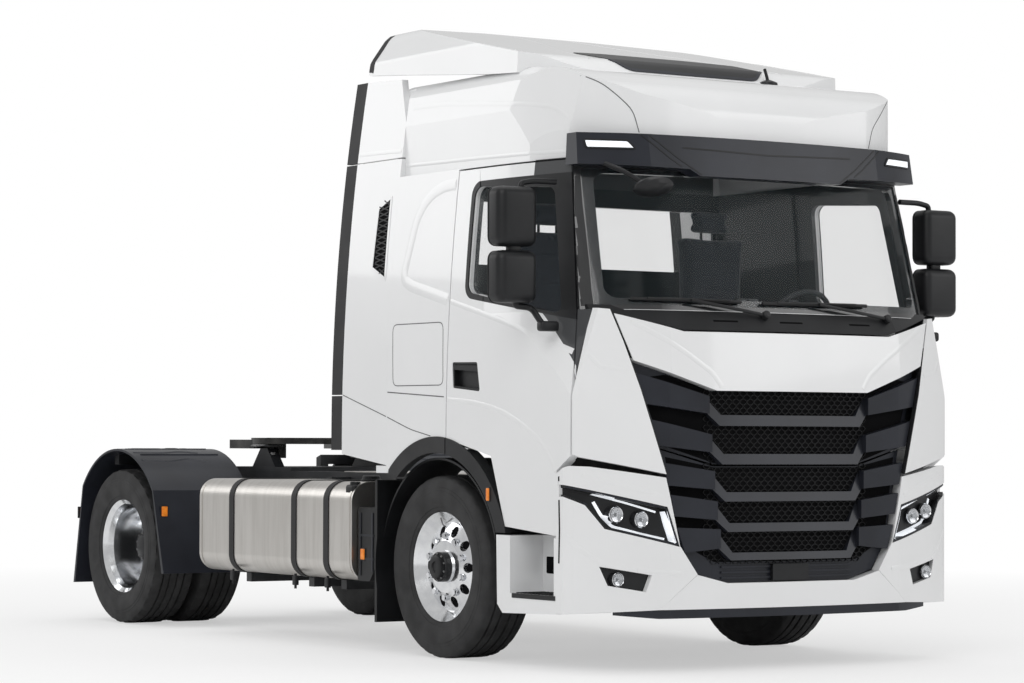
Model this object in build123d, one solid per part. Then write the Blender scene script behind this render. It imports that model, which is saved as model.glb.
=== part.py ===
from build123d import *
import math
import os

# A 4x2 cab-over tractor unit with a high-roof sleeper cab, in millimetres.
# X runs across (positive to the vehicle's left), Y runs back, Z up. Stations along Y are
# measured from the front axle; every node moves by -Y_MID when it is written, so that the
# origin is under the middle of the whole vehicle.

# ---- driving dimensions: vehicle ----
WHEELBASE = 3800
FRONT_OVERHANG = 1590
REAR_OVERHANG = 660
CAB_WIDTH = 2500
BUMPER_WIDTH = 2550
SEAT = 0.3                 # rest gap between pieces that sit on one another
SHUT = 9                   # shut line round doors and panels that move

# ---- wheels and tyres ----
TYRE_R = 496
TYRE_WIDTH = 312
RIM_R = 298                # outside of the rim flange
RIM_WIDTH = 250
BEAD_R = 286
WHEEL_Z = TYRE_R
FRONT_WHEEL_X = 1041       # centre of the front tyre
REAR_WHEEL_X = 1064        # centre of the outer rear tyre
TWIN_SPACING = 345
KINGPIN_X = 985
KINGPIN_R = 25
RUNNING = 0.05             # radial clearance of a shaft in its bore

# ---- frame ----
RAIL_HALF = 425            # outside of the rails
RAIL_FLANGE = 80
RAIL_TOP = 985
RAIL_DEPTH = 270
RAIL_FRONT = -1300
RAIL_BOTTOM = RAIL_TOP - RAIL_DEPTH

# ---- cab body ----
CAB_REAR = 560
CAB_FLOOR = 1135           # underside of the floor
FLOOR_THICK = 60
BELT_Z = 1850              # foot of the windscreen
ROOF_SEAM = 2645
ROOF_TOP = 3190
DOOR_THICK = 60
CAB_WALL = 80              # side wall, door rebate included
END_WALL = 50              # front and rear walls
SIDE_BEND_Z = 1200         # the sides stand upright up to here and lean in above
SIDE_BEND_R = 12500
FIREWALL_Y = -1440
SCREEN_Y = -1500           # windscreen foot at the centre line
SCREEN_LEAN = 15.5         # degrees
# (x, sweep back) of the front's plan: two arcs, then a straight to the corner
BOW = ((760, 50), (1025, 137), (1230, 240), (1300, 290))
SCREEN_BOW = ((760, 50), (1000, 132), (1160, 250), (1300, 450))
# the cab narrows towards the windscreen: each side's plan bends in along an arc
TAPER_Y, TAPER_R = -500, 3390
TAPER_ABOVE = (-0.085, 0.178)      # (x, y) drift of that arc per mm of height over the belt
TAPER_BELOW = (-0.24, 0.12)        # and under it

# ---- front panels ----
NOSE_Y = -FRONT_OVERHANG
PANEL = 30
BUMPER_Y = -1572
GRILLE_Y = -1566
MESH_THICK = 12
MESH_Y = GRILLE_Y + 44
BAR_DEPTH = MESH_Y + MESH_THICK - 2 - GRILLE_Y     # the bars' backs lie inside the mesh
NOSE_BEND_Z, NOSE_SLOPE = 1440, 0.075    # above this height the front panels lean back
NOSE_THICK = 6

Y_MID = (WHEELBASE + REAR_OVERHANG - FRONT_OVERHANG) / 2
TAIL_Y = WHEELBASE + REAR_OVERHANG
SCREEN_SLOPE = math.tan(math.radians(SCREEN_LEAN))


# ---- shape helpers ----
def prism(points, axis, low, high, radii=0):
    """A closed outline pushed along one axis; points are the other two coordinates in order."""
    index = "xyz".index(axis)
    way = [0, 0, 0]
    way[index] = 1
    corners = [(*pair[:index], low, *pair[index:]) for pair in points]
    line = FilletPolyline(*corners, radius=radii, close=True)
    return extrude(make_face(line), amount=high - low, dir=tuple(way))


def block(x, y, z):
    """A box from its low and high X, Y and Z."""
    size = [b - a for a, b in (x, y, z)]
    middle = [(a + b) / 2 for a, b in (x, y, z)]
    return Pos(*middle) * Box(*size)


def rod(axis, radius, low, high, a, b):
    """A round bar along an axis, at the other two coordinates a and b."""
    middle, length = (low + high) / 2, high - low
    if axis == "x":
        return Pos(middle, a, b) * Rot(0, 90, 0) * Cylinder(radius, length)
    if axis == "y":
        return Pos(a, middle, b) * Rot(90, 0, 0) * Cylinder(radius, length)
    return Pos(a, b, middle) * Cylinder(radius, length)


def both(shape):
    """A piece on the right and its twin on the left."""
    return shape + mirror(shape, about=Plane.YZ)


def twin(points):
    """An outline given for positive X, closed by its mirror image."""
    return list(points) + [(-a, b) for a, b in reversed(points) if a != 0]


def side_x(z, depth=0):
    """Half width of the cab at a height, at a depth under its skin."""
    if z <= SIDE_BEND_Z:
        return CAB_WIDTH / 2 - depth
    rise = z - SIDE_BEND_Z
    return CAB_WIDTH / 2 - SIDE_BEND_R + math.sqrt((SIDE_BEND_R - depth) ** 2 - rise ** 2)


def taper_cut(depth, drift, high):
    """What the left side loses towards the front between the belt and another height."""
    start, reach = side_x(BELT_Z) - depth, 1000
    radius = TAPER_R - depth
    (mid, mid_x), (far, far_x) = [
        (TAPER_Y - run, start - radius + math.sqrt(radius ** 2 - run ** 2)) for run in (reach / 2, reach)
    ]
    edges = [
        ThreePointArc((start, TAPER_Y, BELT_Z), (mid_x, mid, BELT_Z), (far_x, far, BELT_Z)),
        Line((far_x, far, BELT_Z), (1800, far, BELT_Z)),
        Line((1800, far, BELT_Z), (1800, TAPER_Y, BELT_Z)),
        Line((1800, TAPER_Y, BELT_Z), (start, TAPER_Y, BELT_Z)),
    ]
    rise = high - BELT_Z
    way = (drift[0] * rise, drift[1] * rise, rise)
    return extrude(make_face(edges), amount=math.hypot(*way), dir=way)


def side_form(depth, front, back, low=200, high=3700):
    """The space between the cab's side skins, less a depth, from one height to another."""
    foot, top = 200, 3700
    half = (SIDE_BEND_Z + top) / 2
    knee, bend, peak = side_x(SIDE_BEND_Z, depth), side_x(half, depth), side_x(top, depth)
    edges = [
        Line((-knee, front, foot), (knee, front, foot)),
        Line((knee, front, foot), (knee, front, SIDE_BEND_Z)),
        ThreePointArc((knee, front, SIDE_BEND_Z), (bend, front, half), (peak, front, top)),
        Line((peak, front, top), (-peak, front, top)),
        ThreePointArc((-peak, front, top), (-bend, front, half), (-knee, front, SIDE_BEND_Z)),
        Line((-knee, front, SIDE_BEND_Z), (-knee, front, foot)),
    ]
    form = extrude(make_face(edges), amount=back - front, dir=(0, 1, 0))
    if low > foot or high < top:
        form &= block((-2000, 2000), (front, back), (low, high))
    if front < TAPER_Y:
        for drift, level in ((TAPER_ABOVE, 3300), (TAPER_BELOW, 1200)):
            form -= both(taper_cut(depth, drift, level))
    return form


def side_skin(outer, inner, front, back, low=200, high=3700):
    """Both side skins between two depths."""
    return side_form(outer, front, back, low, high) - side_form(inner, front, back, low - 1, high + 1)


def bow_form(front, back, low, high, slope=0, bow=BOW):
    """The bowed front of the vehicle from a centre line station back, leaning by slope."""
    (x1, s1), (x2, s2), (x3, s3), (x4, s4) = bow
    edges = [
        ThreePointArc((-x1, front + s1, low), (0, front, low), (x1, front + s1, low)),
        ThreePointArc((x1, front + s1, low), (x2, front + s2, low), (x3, front + s3, low)),
        Line((x3, front + s3, low), (x4, front + s4, low)),
        Line((x4, front + s4, low), (x4, back, low)),
        Line((x4, back, low), (-x4, back, low)),
        Line((-x4, back, low), (-x4, front + s4, low)),
        Line((-x4, front + s4, low), (-x3, front + s3, low)),
        ThreePointArc((-x3, front + s3, low), (-x2, front + s2, low), (-x1, front + s1, low)),
    ]
    rise = high - low
    return extrude(make_face(edges), amount=rise * math.hypot(1, slope), dir=(0, slope, 1))


def bow_skin(front, thick, low, high, slope=0, bow=BOW):
    """A bowed sheet of the front, its thickness measured along Y."""
    reach = 700
    outer = bow_form(front, front + reach, low, high, slope, bow)
    return outer - bow_form(front + thick, front + reach + thick, low, high, slope, bow)


def bow_sweep(x, bow=BOW):
    """How far back the front's plan lies at a distance x from the centre line."""
    corners = ((0, 0),) + bow
    for (x1, s1), (x2, s2) in zip(corners, corners[1:]):
        if abs(x) <= x2:
            share = (abs(x) - x1) / (x2 - x1)
            return s1 + (s2 - s1) * (share ** 2 if x1 == 0 else share)


def screen_y(z):
    """Centre line station of the windscreen's surface at a height."""
    return SCREEN_Y + (z - BELT_Z) * SCREEN_SLOPE


def ring_x(points, y, z):
    """A ring about the wheel's axle line; points are (x, radius)."""
    face = make_face(Polyline(*[(x, 0, r) for x, r in points], close=True))
    return Pos(0, y, z) * revolve(face, axis=Axis.X)


nodes = {}


def save(name, *shapes):
    """Keep a node: its shapes side by side, as one part."""
    nodes[name] = shapes[0] if len(shapes) == 1 else sum(shapes[1:], shapes[0])


# ---- cab forms ----
def cab_form(depth, front_wall, rear_wall, low, high):
    """The cab's outline less its walls, from the firewall up past the leaning windscreen."""
    back = CAB_REAR - rear_wall
    lower = bow_form(FIREWALL_Y + front_wall, back, low, BELT_Z)
    upper = bow_form(SCREEN_Y + front_wall, back + 800, BELT_Z, high, SCREEN_SLOPE, SCREEN_BOW)
    form = (lower + upper) & side_form(depth, -2000, back)
    return form


DOOR_REAR = -165
DOOR_FRONT = -1330
DOOR_TOP = ROOF_SEAM - 12
ARCH_Y, ARCH_Z = -60, 480          # centre of the wheel arch
ARCH_OUTER, ARCH_INNER = 722, 634  # its black trim's radii
PILLAR_Y = -1096                   # front of the door at its top

# (y, z) round the door, from its lower front corner
DOOR_OUTLINE = (
    (-1209, 696), (-735, 734), (-600, 1100), (DOOR_REAR, 1190), (DOOR_REAR, DOOR_TOP),
    (PILLAR_Y, DOOR_TOP), (-1236, BELT_Z + 20), (-1298, 1600), (DOOR_FRONT, 1420), (DOOR_FRONT, 1104),
    (-1209, 1030),
)
# (y, z) round the door's window
WINDOW_OUTLINE = ((-1143, 1828), (-332, 1972), (-336, 2539), (-998, 2495))
WINDOW_RADII = (40, 60, 60, 60)
# (y, z) of the black frame round it, which reaches the door's front edge
WINDOW_FRAME = ((-1262, BELT_Z - 52), (-305, 1944), (-305, 2566), (PILLAR_Y - 40, 2566))
WINDOW_FRAME_RADII = (0, 80, 80, 0)
TRIM_DEPTH = 8
DOOR_EDGE_X, DOOR_EDGE_Y = 1198, -1290   # the door is thinner than this at its hinge edge
PANE_X, PANE_DY, PANE_DZ = 1429.5, 0.0853, -0.0972   # the pane's plane: x at the origin, and its slopes
PANE_THICK = 5
# (y, z) of the handle's pocket and of its grip
HANDLE_LINE = ((-489, 1440), (-225, 1462), (-211, 1600), (-455, 1596))
HANDLE_GRIP = ((-460, 1545), (-222, 1560), (-218, 1585), (-452, 1579))


def grown(points, by, axis, low, high, radii=0):
    """An outline moved out by a distance and pushed along an axis."""
    index = "xyz".index(axis)
    way = (1, 0, 0) if index == 0 else (0, 1, 0)
    corners = [(*pair[:index], low, *pair[index:]) for pair in points]
    face = make_face(FilletPolyline(*corners, radius=radii, close=True))
    return extrude(offset(face, amount=by, kind=Kind.INTERSECTION), amount=high - low, dir=way)


def arch(radius, low, high):
    """A drum about the wheel arch's centre."""
    return rod("x", radius, low, high, ARCH_Y, ARCH_Z)


# ---- cab shell ----
GLASS = 8
SCREEN_OUTLINE = ((-1085, BELT_Z + 25), (1085, BELT_Z + 25), (1052, 2585), (-1052, 2585))
SCREEN_OPENING = ((-1035, BELT_Z + 60), (1035, BELT_Z + 60), (1000, 2560), (-1000, 2560))
REAR_WINDOW = ((-1060, 2180), (1060, 2180), (1060, 2540), (-1060, 2540))
DEFLECTOR_THICK = 40
DEFLECTOR_FRONT = 455


def make_cab_shell():
    shell = cab_form(0, 0, 0, CAB_FLOOR, ROOF_SEAM)
    hollow = cab_form(CAB_WALL, END_WALL, END_WALL, CAB_FLOOR + FLOOR_THICK, ROOF_SEAM + 100)
    skirt_low = 1000
    skirt = side_skin(0, 40, DOOR_REAR + SHUT, CAB_REAR, skirt_low, CAB_FLOOR + 20)
    shell = shell - hollow + skirt
    shell -= arch(ARCH_OUTER + SEAT, -1400, 1400)
    # pillar feet behind the corner panels
    feet = bow_form(NOSE_Y + PANEL + SEAT, -1150, CAB_FLOOR, NOSE_BEND_Z)
    feet += bow_form(NOSE_Y + PANEL + SEAT, -1150, NOSE_BEND_Z, BELT_Z, NOSE_SLOPE)
    feet &= side_form(0, -2000, -1100)
    shell += feet - block((-1080, 1080), (-2000, 0), (1000, 2000))
    # door openings, with the rebate that the doors shut against
    for hand in (-1, 1):
        low, high = sorted((hand * 900, hand * 1400))
        gap = grown(DOOR_OUTLINE, SHUT, "x", low, high)
        shell -= gap - side_form(DOOR_THICK + SEAT, -2000, 2000)
        way_in = grown(DOOR_OUTLINE[3:7], -25, "x", low, high)
        shell -= way_in & block((-1400, 1400), (-2000, 2000), (CAB_FLOOR + 40, 3000))
    # windscreen and rear window
    shell -= prism(SCREEN_OPENING, "y", -1800, -900, 60)
    rebate = bow_skin(SCREEN_Y - 1, 1 + GLASS + SEAT, BELT_Z, ROOF_SEAM, SCREEN_SLOPE, SCREEN_BOW)
    shell -= rebate & grown(SCREEN_OUTLINE, SEAT, "y", -1800, -900)
    shell -= prism(REAR_WINDOW, "y", CAB_REAR - 200, CAB_REAR + 10, 40)
    # the deflectors cover the rear corners
    deep = DEFLECTOR_THICK + SEAT
    shell -= side_skin(-5, deep, DEFLECTOR_FRONT - SEAT, CAB_REAR + 10, 1040, ROOF_SEAM + 10)
    # stops for the front hatch
    hatch_back = bow_form(MESH_Y + MESH_THICK + SEAT, 0, 1000, 2000)
    shell += both(block((500, 540), (-1600, FIREWALL_Y + 60), (1180, 1220)) & hatch_back)
    nose_back = bow_form(NOSE_Y + NOSE_THICK + SEAT, 0, NOSE_BEND_Z, 1800, NOSE_SLOPE)
    shell += both(block((600, 640), (-1600, FIREWALL_Y + 60), (1640, 1680)) & nose_back)
    return shell


save("cab_shell", make_cab_shell())


def make_windscreen():
    sheet = bow_skin(SCREEN_Y, GLASS, BELT_Z, ROOF_SEAM, SCREEN_SLOPE, SCREEN_BOW)
    return sheet & prism(SCREEN_OUTLINE, "y", -1800, -900)


save("cab_glass", make_windscreen(), grown(REAR_WINDOW, -SEAT, "y", CAB_REAR - 30, CAB_REAR - 24, 40))


# ---- roof ----
ROOF_FRONT = -1300
ROOF_BOW = ((700, 34), (940, 112), (1075, 240), (1130, 520))
ROOF_CROWN = 26                    # how far the roof's middle stands over its edges
ROOF_EDGE_R = 150
# (y, z) of the roof's side view, then the radius of each corner
ROOF_SIDE = (
    (ROOF_FRONT + 6, ROOF_SEAM), (ROOF_FRONT + 6, 2990), (-1020, 3118), (-350, ROOF_TOP),
    (CAB_REAR, ROOF_TOP), (CAB_REAR, ROOF_SEAM),
)
ROOF_SIDE_RADII = (0, 190, 560, 1500, 0, 0)
ROOF_SHELL = 50


def roof_form(depth, low):
    """The raised roof's outside, less a depth, from a height up."""
    front, rear = ROOF_FRONT + depth, CAB_REAR + 10
    side = prism([(y, z - depth) for y, z in ROOF_SIDE], "x", -1400, 1400, ROOF_SIDE_RADII)
    form = side & bow_form(front, rear, low, ROOF_TOP + 10, 0, ROOF_BOW)
    half, edge = side_x(3140) - depth, ROOF_TOP - ROOF_CROWN - depth
    foot = side_x(low) - depth + (half - side_x(3140) + depth)
    shoulder = edge + ROOF_CROWN * 0.8
    crown = ((foot + 14, low), (half + 4, edge), (half / 2, shoulder), (0, ROOF_TOP + 2 - depth))
    form &= prism(twin(crown), "y", front, rear, (0, ROOF_EDGE_R, 900, 3000, 900, ROOF_EDGE_R, 0))
    return form & side_form(depth, front, rear)


def make_roof():
    outer = roof_form(0, ROOF_SEAM)
    inner = roof_form(ROOF_SHELL, ROOF_SEAM - 5)
    inner &= block((-1300, 1300), (-1300, CAB_REAR - ROOF_SHELL), (2600, 3300))
    deep = DEFLECTOR_THICK + SEAT
    corner = side_skin(-5, deep, DEFLECTOR_FRONT - SEAT, CAB_REAR + 20, ROOF_SEAM - 5, 3300)
    return outer - inner - corner


save("roof", Pos(0, 0, SEAT) * make_roof())

# ---- spoiler on the roof ----
SPOILER_REAR = 935
SPOILER_TOP = ROOF_TOP + 358
SPOILER_WALL = 30
# (y, z) of the spoiler's side view
SPOILER_SIDE = (
    (-760, ROOF_TOP - 70), (-640, ROOF_TOP + 45), (830, SPOILER_TOP), (890, SPOILER_TOP - 13),
    (SPOILER_REAR, ROOF_TOP + 72), (CAB_REAR, ROOF_TOP + 40), (-300, ROOF_TOP - 40),
)
SPOILER_RADII = (0, 120, 60, 25, 0, 0, 0)


def spoiler_form(inset):
    half = side_x(3250) - inset
    top = SPOILER_TOP - inset + 14
    crown = twin(((half + 12, ROOF_TOP - 190), (half, ROOF_TOP + 140), (half - 110, top - 60), (0, top + 10)))
    form = prism(SPOILER_SIDE, "x", -1300, 1300, SPOILER_RADII)
    form &= prism(crown, "y", -1400, 1200, (0, 60, 120, 5000, 120, 60, 0))
    return form & bow_form(-760, 1300, 3000, 3600)


def make_spoiler():
    form = spoiler_form(0)
    cavity = block((-side_x(3250) + SPOILER_WALL, side_x(3250) - SPOILER_WALL), (-560, 1200), (3000, 3600))
    inner = Pos(0, 40, -SPOILER_WALL) * spoiler_form(SPOILER_WALL)
    form -= inner & cavity
    under = bow_form(-1400, 1300, 3000, 3700) & prism(
        ((-1400, 2900), (1400, 2900), (1400, ROOF_TOP - 200), (-1400, ROOF_TOP - 200)), "y", -1400, 1200)
    return form - roof_form(0, ROOF_SEAM).moved(Location((0, 0, 2 * SEAT))) - under


save("roof_spoiler", make_spoiler())

# ---- side deflectors behind the cab ----
STRIP = 118
# (y, z) of one deflector, up to its rubber strip, and the strip's levels
DEFLECTOR_REAR = 1055
DEFLECTOR_BANDS = ((1125, 1432), (1438, 2748), (2756, 3222))
DEFLECTOR_LOW = 1103               # its lower edge at the strip
LOW_FRONT = 1043                   # and at the cab


def make_deflectors():
    high = DEFLECTOR_BANDS[-1][1]
    edge = DEFLECTOR_REAR - STRIP
    line = ((DEFLECTOR_FRONT, LOW_FRONT), (edge, DEFLECTOR_LOW), (edge, high),
            (DEFLECTOR_FRONT + 110, high - 18), (DEFLECTOR_FRONT, 2950))
    panel = prism(line, "x", -1400, 1400) & side_skin(0, DEFLECTOR_THICK, 0, 2000)
    seam = block((-1400, 1400), (0, 2000), (2748, 2756))
    return panel - seam


def make_deflector_strips():
    strips = [
        side_skin(0, 30, DEFLECTOR_REAR - STRIP + SEAT, DEFLECTOR_REAR, low, high)
        for low, high in DEFLECTOR_BANDS
    ]
    return sum(strips[1:], strips[0])


save("side_deflectors", make_deflectors())

# ---- sun visor ----
VISOR_Y, VISOR_LOW, VISOR_HIGH = -1405, 2556, 2764
VISOR_HALF = 1120


def make_visor():
    form = bow_form(VISOR_Y, 0, VISOR_LOW, VISOR_HIGH, 0.17)
    line = ((VISOR_HALF, VISOR_HIGH), (VISOR_HALF + 8, 2600), (530, 2590), (470, VISOR_LOW))
    form &= prism(twin(line), "y", -1700, PILLAR_Y - SHUT)
    below = bow_form(screen_y(2500) - SEAT, 900, 2500, ROOF_SEAM + 20, SCREEN_SLOPE, SCREEN_BOW)
    form -= below & side_form(-SEAT, -2000, 0)
    return form - roof_form(-SEAT, ROOF_SEAM - 60)


save("sun_visor", make_visor())

# ---- cowl under the windscreen ----
COWL_LOW = 1750
COWL_LINE = ((0, COWL_LOW), (681, COWL_LOW), (1045, 1838), (1125, 1852), (1125, 1876), (0, 1876))
COWL_SLOPE = 0.6


def make_cowl():
    form = bow_form(SCREEN_Y - (BELT_Z - COWL_LOW) * COWL_SLOPE, 0, COWL_LOW, 1880, COWL_SLOPE)
    form &= prism(twin(COWL_LINE[1:5]), "y", -1700, -1000) & side_form(0, -2000, 0)
    form -= bow_form(FIREWALL_Y - SEAT, 300, COWL_LOW - 10, BELT_Z + 10)
    form -= both(block((1080 - SEAT, 1400), (-2000, 0), (1000, BELT_Z + SEAT)))
    return form - bow_form(SCREEN_Y - SEAT, 900, BELT_Z - SEAT, 2000, SCREEN_SLOPE, SCREEN_BOW)


def front_skin(thick, low, high):
    """The painted front's sheet, upright below the bend and leaning above it."""
    sheet = bow_skin(NOSE_Y, thick, low, NOSE_BEND_Z)
    if high > NOSE_BEND_Z:
        sheet += bow_skin(NOSE_Y, thick, NOSE_BEND_Z, high, NOSE_SLOPE)
    return sheet


save("cowl", make_cowl())

# ---- corner panels ----
# (x, z) of the grille's outer edge, from the bumper up
GRILLE_EDGE = ((602, 500), (706, 648), (786, 1000), (968, 1590), (1060, 1850))


def edge_x(z):
    """Where the grille's outer edge is at a height."""
    for (x1, z1), (x2, z2) in zip(GRILLE_EDGE, GRILLE_EDGE[1:]):
        if z <= z2:
            return x1 + (x2 - x1) * (z - z1) / (z2 - z1)


CORNER_FOOT = 1012
CORNER_LINE = (
    (edge_x(CORNER_FOOT), CORNER_FOOT), GRILLE_EDGE[3], GRILLE_EDGE[4],
    (1400, 1880), (1400, 1180), (1215, 1098),
)


def make_corner_panels():
    skin = front_skin(PANEL, 1000, 1900) & side_form(0, -2000, DOOR_FRONT - SHUT)
    skin = (skin & prism(CORNER_LINE, "y", -1800, -1000)) - grown(DOOR_OUTLINE, SHUT, "x", 0, 1400)
    above = bow_form(SCREEN_Y - SEAT, 900, BELT_Z - SEAT, 2000, SCREEN_SLOPE, SCREEN_BOW)
    return both(skin - (above & side_form(-SEAT, -2000, 0)))


save("corner_panels", make_corner_panels())

# ---- front hatch: nose panel and upper grille ----
HATCH_GAP = 12
# (x, z) of the nose panel, from its lower edge
NOSE_LINE = (
    (500, 1440), (edge_x(1590) - HATCH_GAP, 1590), (edge_x(1828) - HATCH_GAP, 1828), (681, COWL_LOW - SHUT),
)
NOSE_LIP = 12


def make_nose():
    panel = front_skin(NOSE_THICK, 1400, 1900) & prism(twin(NOSE_LINE), "y", -1800, -1000)
    # a lip along the lower edge reaches back to the grille's mesh
    (x1, z1), (x2, z2) = NOSE_LINE[:2]
    edge = ((x1, z1), (x2, z2), (x2, z2 + NOSE_LIP), (x1, z1 + NOSE_LIP))
    lip = front_skin(120, 1400, 1900) & prism(twin(edge), "y", -1800, -1000)
    return panel + lip - bow_form(MESH_Y - SEAT, 0, 1300, 1700)


save("nose_panel", make_nose())

RISER, RISER_HIGH = 62, 118         # how far each bar steps up from its lip to its wings
LIP_SLOPE = 0.3
# Grille bars: half width and heights of the centre lip, then the heights of the wing's end
BARS = (
    # lip half, lip top, lip low, wing top, wing low
    (466, 1316, 1260, 1527, 1370),
    (449, 1116, 1062, 1292, 1158),
    (432, 919, 871, 1071, 955),
    (415, 760, 715, 908, 798),
    (397, 608, 569, 740, 612),
)
HATCH_SPLIT, SPLIT_END = 1052, 1140     # where hatch and lower grille part, in the middle and at the ends
BUMPER_LOW = 323
# (x, z) of the black chin under the bumper, whose lower edge falls by BUMPER_FALL towards the sides
BUMPER_FALL = 23 / 579
CHIN_SPLIT, CHIN_END = 821, 1000
CHIN_TOP = BUMPER_LOW - SEAT
CHIN_LINE = (
    (CHIN_SPLIT, 278), (CHIN_END, 294), (CHIN_END, CHIN_TOP - (CHIN_END - CHIN_SPLIT) * BUMPER_FALL),
    (CHIN_SPLIT, CHIN_TOP),
)


def bar(half, top, low, wing_top, wing_low):
    """One grille bar: a lip across the middle that leans back, and an upright wing at each end."""
    rise = RISER_HIGH - (top - low) * 0.5
    knee_low, knee_top = low + RISER, low + RISER + rise
    end_low, end_top = edge_x(wing_low) - SHUT, edge_x(wing_top) - SHUT
    wing = ((half + RISER, knee_low), (end_low, wing_low), (end_top, wing_top), (half + RISER, knee_top))
    sheet = bow_skin(GRILLE_Y, BAR_DEPTH, 400, 1700)
    shape = both(sheet & prism(wing, "y", -1800, -1000))
    lip = ((half, low), (half + RISER + 1, knee_low), (half + RISER + 1, knee_top), (half - 18, top))
    blade = sheet & prism(twin(lip), "y", -1800, -1000)
    return shape + (blade & bow_form(GRILLE_Y, -900, low, low + 240, LIP_SLOPE))


def grille_back(points):
    """The mesh behind the bars, in the outline of points."""
    return bow_skin(MESH_Y, MESH_THICK, 400, 1700) & prism(twin(points), "y", -1800, -1000)


def make_upper_grille():
    low, end = HATCH_SPLIT + HATCH_GAP, SPLIT_END + HATCH_GAP
    mesh = ((480, low), (edge_x(end) - HATCH_GAP, end), (edge_x(1600) - HATCH_GAP, 1600), (500, 1460))
    return bar(*BARS[0]) + bar(*BARS[1]) + grille_back(mesh)


def make_lower_grille():
    mesh = ((420, 455), (590, 505), (edge_x(650) - SHUT, 650), (edge_x(SPLIT_END) - 3 * SHUT, SPLIT_END),
            (480, HATCH_SPLIT))
    bars = [bar(*row) for row in BARS[2:]]
    grille = sum(bars, grille_back(mesh))
    grille -= both(block((480 - SEAT, 480), (-1800, -1000), (400, 1200)))
    chin = prism(twin(CHIN_LINE), "y", -1800, -1000) & bow_skin(BUMPER_Y + 4, 90, 270, BUMPER_LOW)
    return grille + chin


save("upper_grille", make_upper_grille())
save("lower_grille", make_lower_grille())

# ---- bumper ----
BUMPER_SKIN = 60
# (x, z) of one bumper corner, from the seam with the centre piece
CORNER_BUMPER = (
    (CHIN_SPLIT, BUMPER_LOW), (1400, 300), (1400, 1060), (1160, 1050), (edge_x(995), 995),
    GRILLE_EDGE[1], GRILLE_EDGE[0],
)
LAMP_LINE = ((706, 642), (776, 846), (1290, 962), (1290, 905), (1180, 855), (1090, 735))
FOG_LINE = ((857, 500), (1115, 545), (1075, 448), (888, 415))
SIDE_END = -1241


def bumper_form(front, low, high):
    return bow_form(front, SIDE_END, low, high)


def make_bumper_corners():
    skin = bumper_form(BUMPER_Y, 280, 1070) - bow_form(BUMPER_Y + BUMPER_SKIN, 0, 200, 1200) 
    side = block((BUMPER_WIDTH / 2 - BUMPER_SKIN, BUMPER_WIDTH / 2), (BUMPER_Y, SIDE_END), (300, 1060))
    skin += side & bow_form(BUMPER_Y, 0, 280, 1070)
    skin &= prism(CORNER_BUMPER, "y", -1800, SIDE_END) & block((0, BUMPER_WIDTH / 2), (-1800, 0), (200, 1200))
    # the rear top corner falls away where the cab swings past
    skin -= prism(((SIDE_END + 1, 1012), (SIDE_END + 1, 1100), (-1400, 1100), (-1400, 1098)), "x", 1100, 1400)
    skin -= grown(LAMP_LINE, 0, "y", -1800, SIDE_END - 25)
    skin -= grown(FOG_LINE, 0, "y", -1800, SIDE_END - 25)
    return both(skin)


def make_bumper_centre():
    line = ((CHIN_SPLIT - SEAT, BUMPER_LOW), (602 - SEAT, 498), (420, 453))
    return bow_skin(BUMPER_Y, BUMPER_SKIN, 300, 520) & prism(twin(line), "y", -1800, -1000)


save("bumper_corners", make_bumper_corners())
save("bumper_centre", make_bumper_centre())


def make_headlamps():
    cell = bow_form(BUMPER_Y + 5, 0, 600, 1000) - bow_form(BUMPER_Y + BUMPER_SKIN, 0, 500, 1100)
    cell &= grown(LAMP_LINE, -SEAT, "y", -1800, SIDE_END - 26)
    cell &= block((0, 1262), (-1800, SIDE_END - 26), (500, 1100))
    recess = bow_form(BUMPER_Y, 0, 600, 1000) - bow_form(BUMPER_Y + BUMPER_SKIN - 12, 0, 500, 1100)
    recess &= grown(LAMP_LINE, -14, "y", -1800, SIDE_END - 26)
    cell -= recess
    for x, z in ((1030, 807), (903, 782)):
        y = BUMPER_Y + bow_sweep(x)
        cell += rod("y", 42, y + 18, y + BUMPER_SKIN - 4, x, z)
    return both(cell)


def make_fog_lamps():
    cell = bow_skin(BUMPER_Y + 30, 30, 380, 600) & grown(FOG_LINE, -SEAT, "y", -1800, SIDE_END - 26)
    x, z = 1025, 479
    y = BUMPER_Y + bow_sweep(x)
    cell += rod("y", 36, y + 10, y + 45, x, z)
    return both(cell)


save("front_lamps", make_headlamps(), make_fog_lamps())

# ---- steps ----
STEP_REAR = -680


def make_steps():
    front = SIDE_END + SEAT
    side = ((front, 300), (front, 686), (STEP_REAR, 690), (STEP_REAR - 10, 330), (STEP_REAR - 60, 285))
    body = prism(side, "x", 930, BUMPER_WIDTH / 2 - 8)
    body -= block((1060, 1400), (SIDE_END + 30, STEP_REAR - 130), (392, 800))
    return both(body)


save("steps", make_steps())

# ---- frame ----
TANK_FRONT, TANK_REAR = 840, 2662
TANK_LOW, TANK_HIGH = 387, 945
TANK_IN, TANK_OUT = 570, 1240
STRAP_Y = (1125, 1496, 2250)
STRAP = 5
BEAM_TOP = 560
CROSS_Y = (-1250, 700, 1650, WHEELBASE - 1250, WHEELBASE - 500, TAIL_Y - 120)


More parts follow.
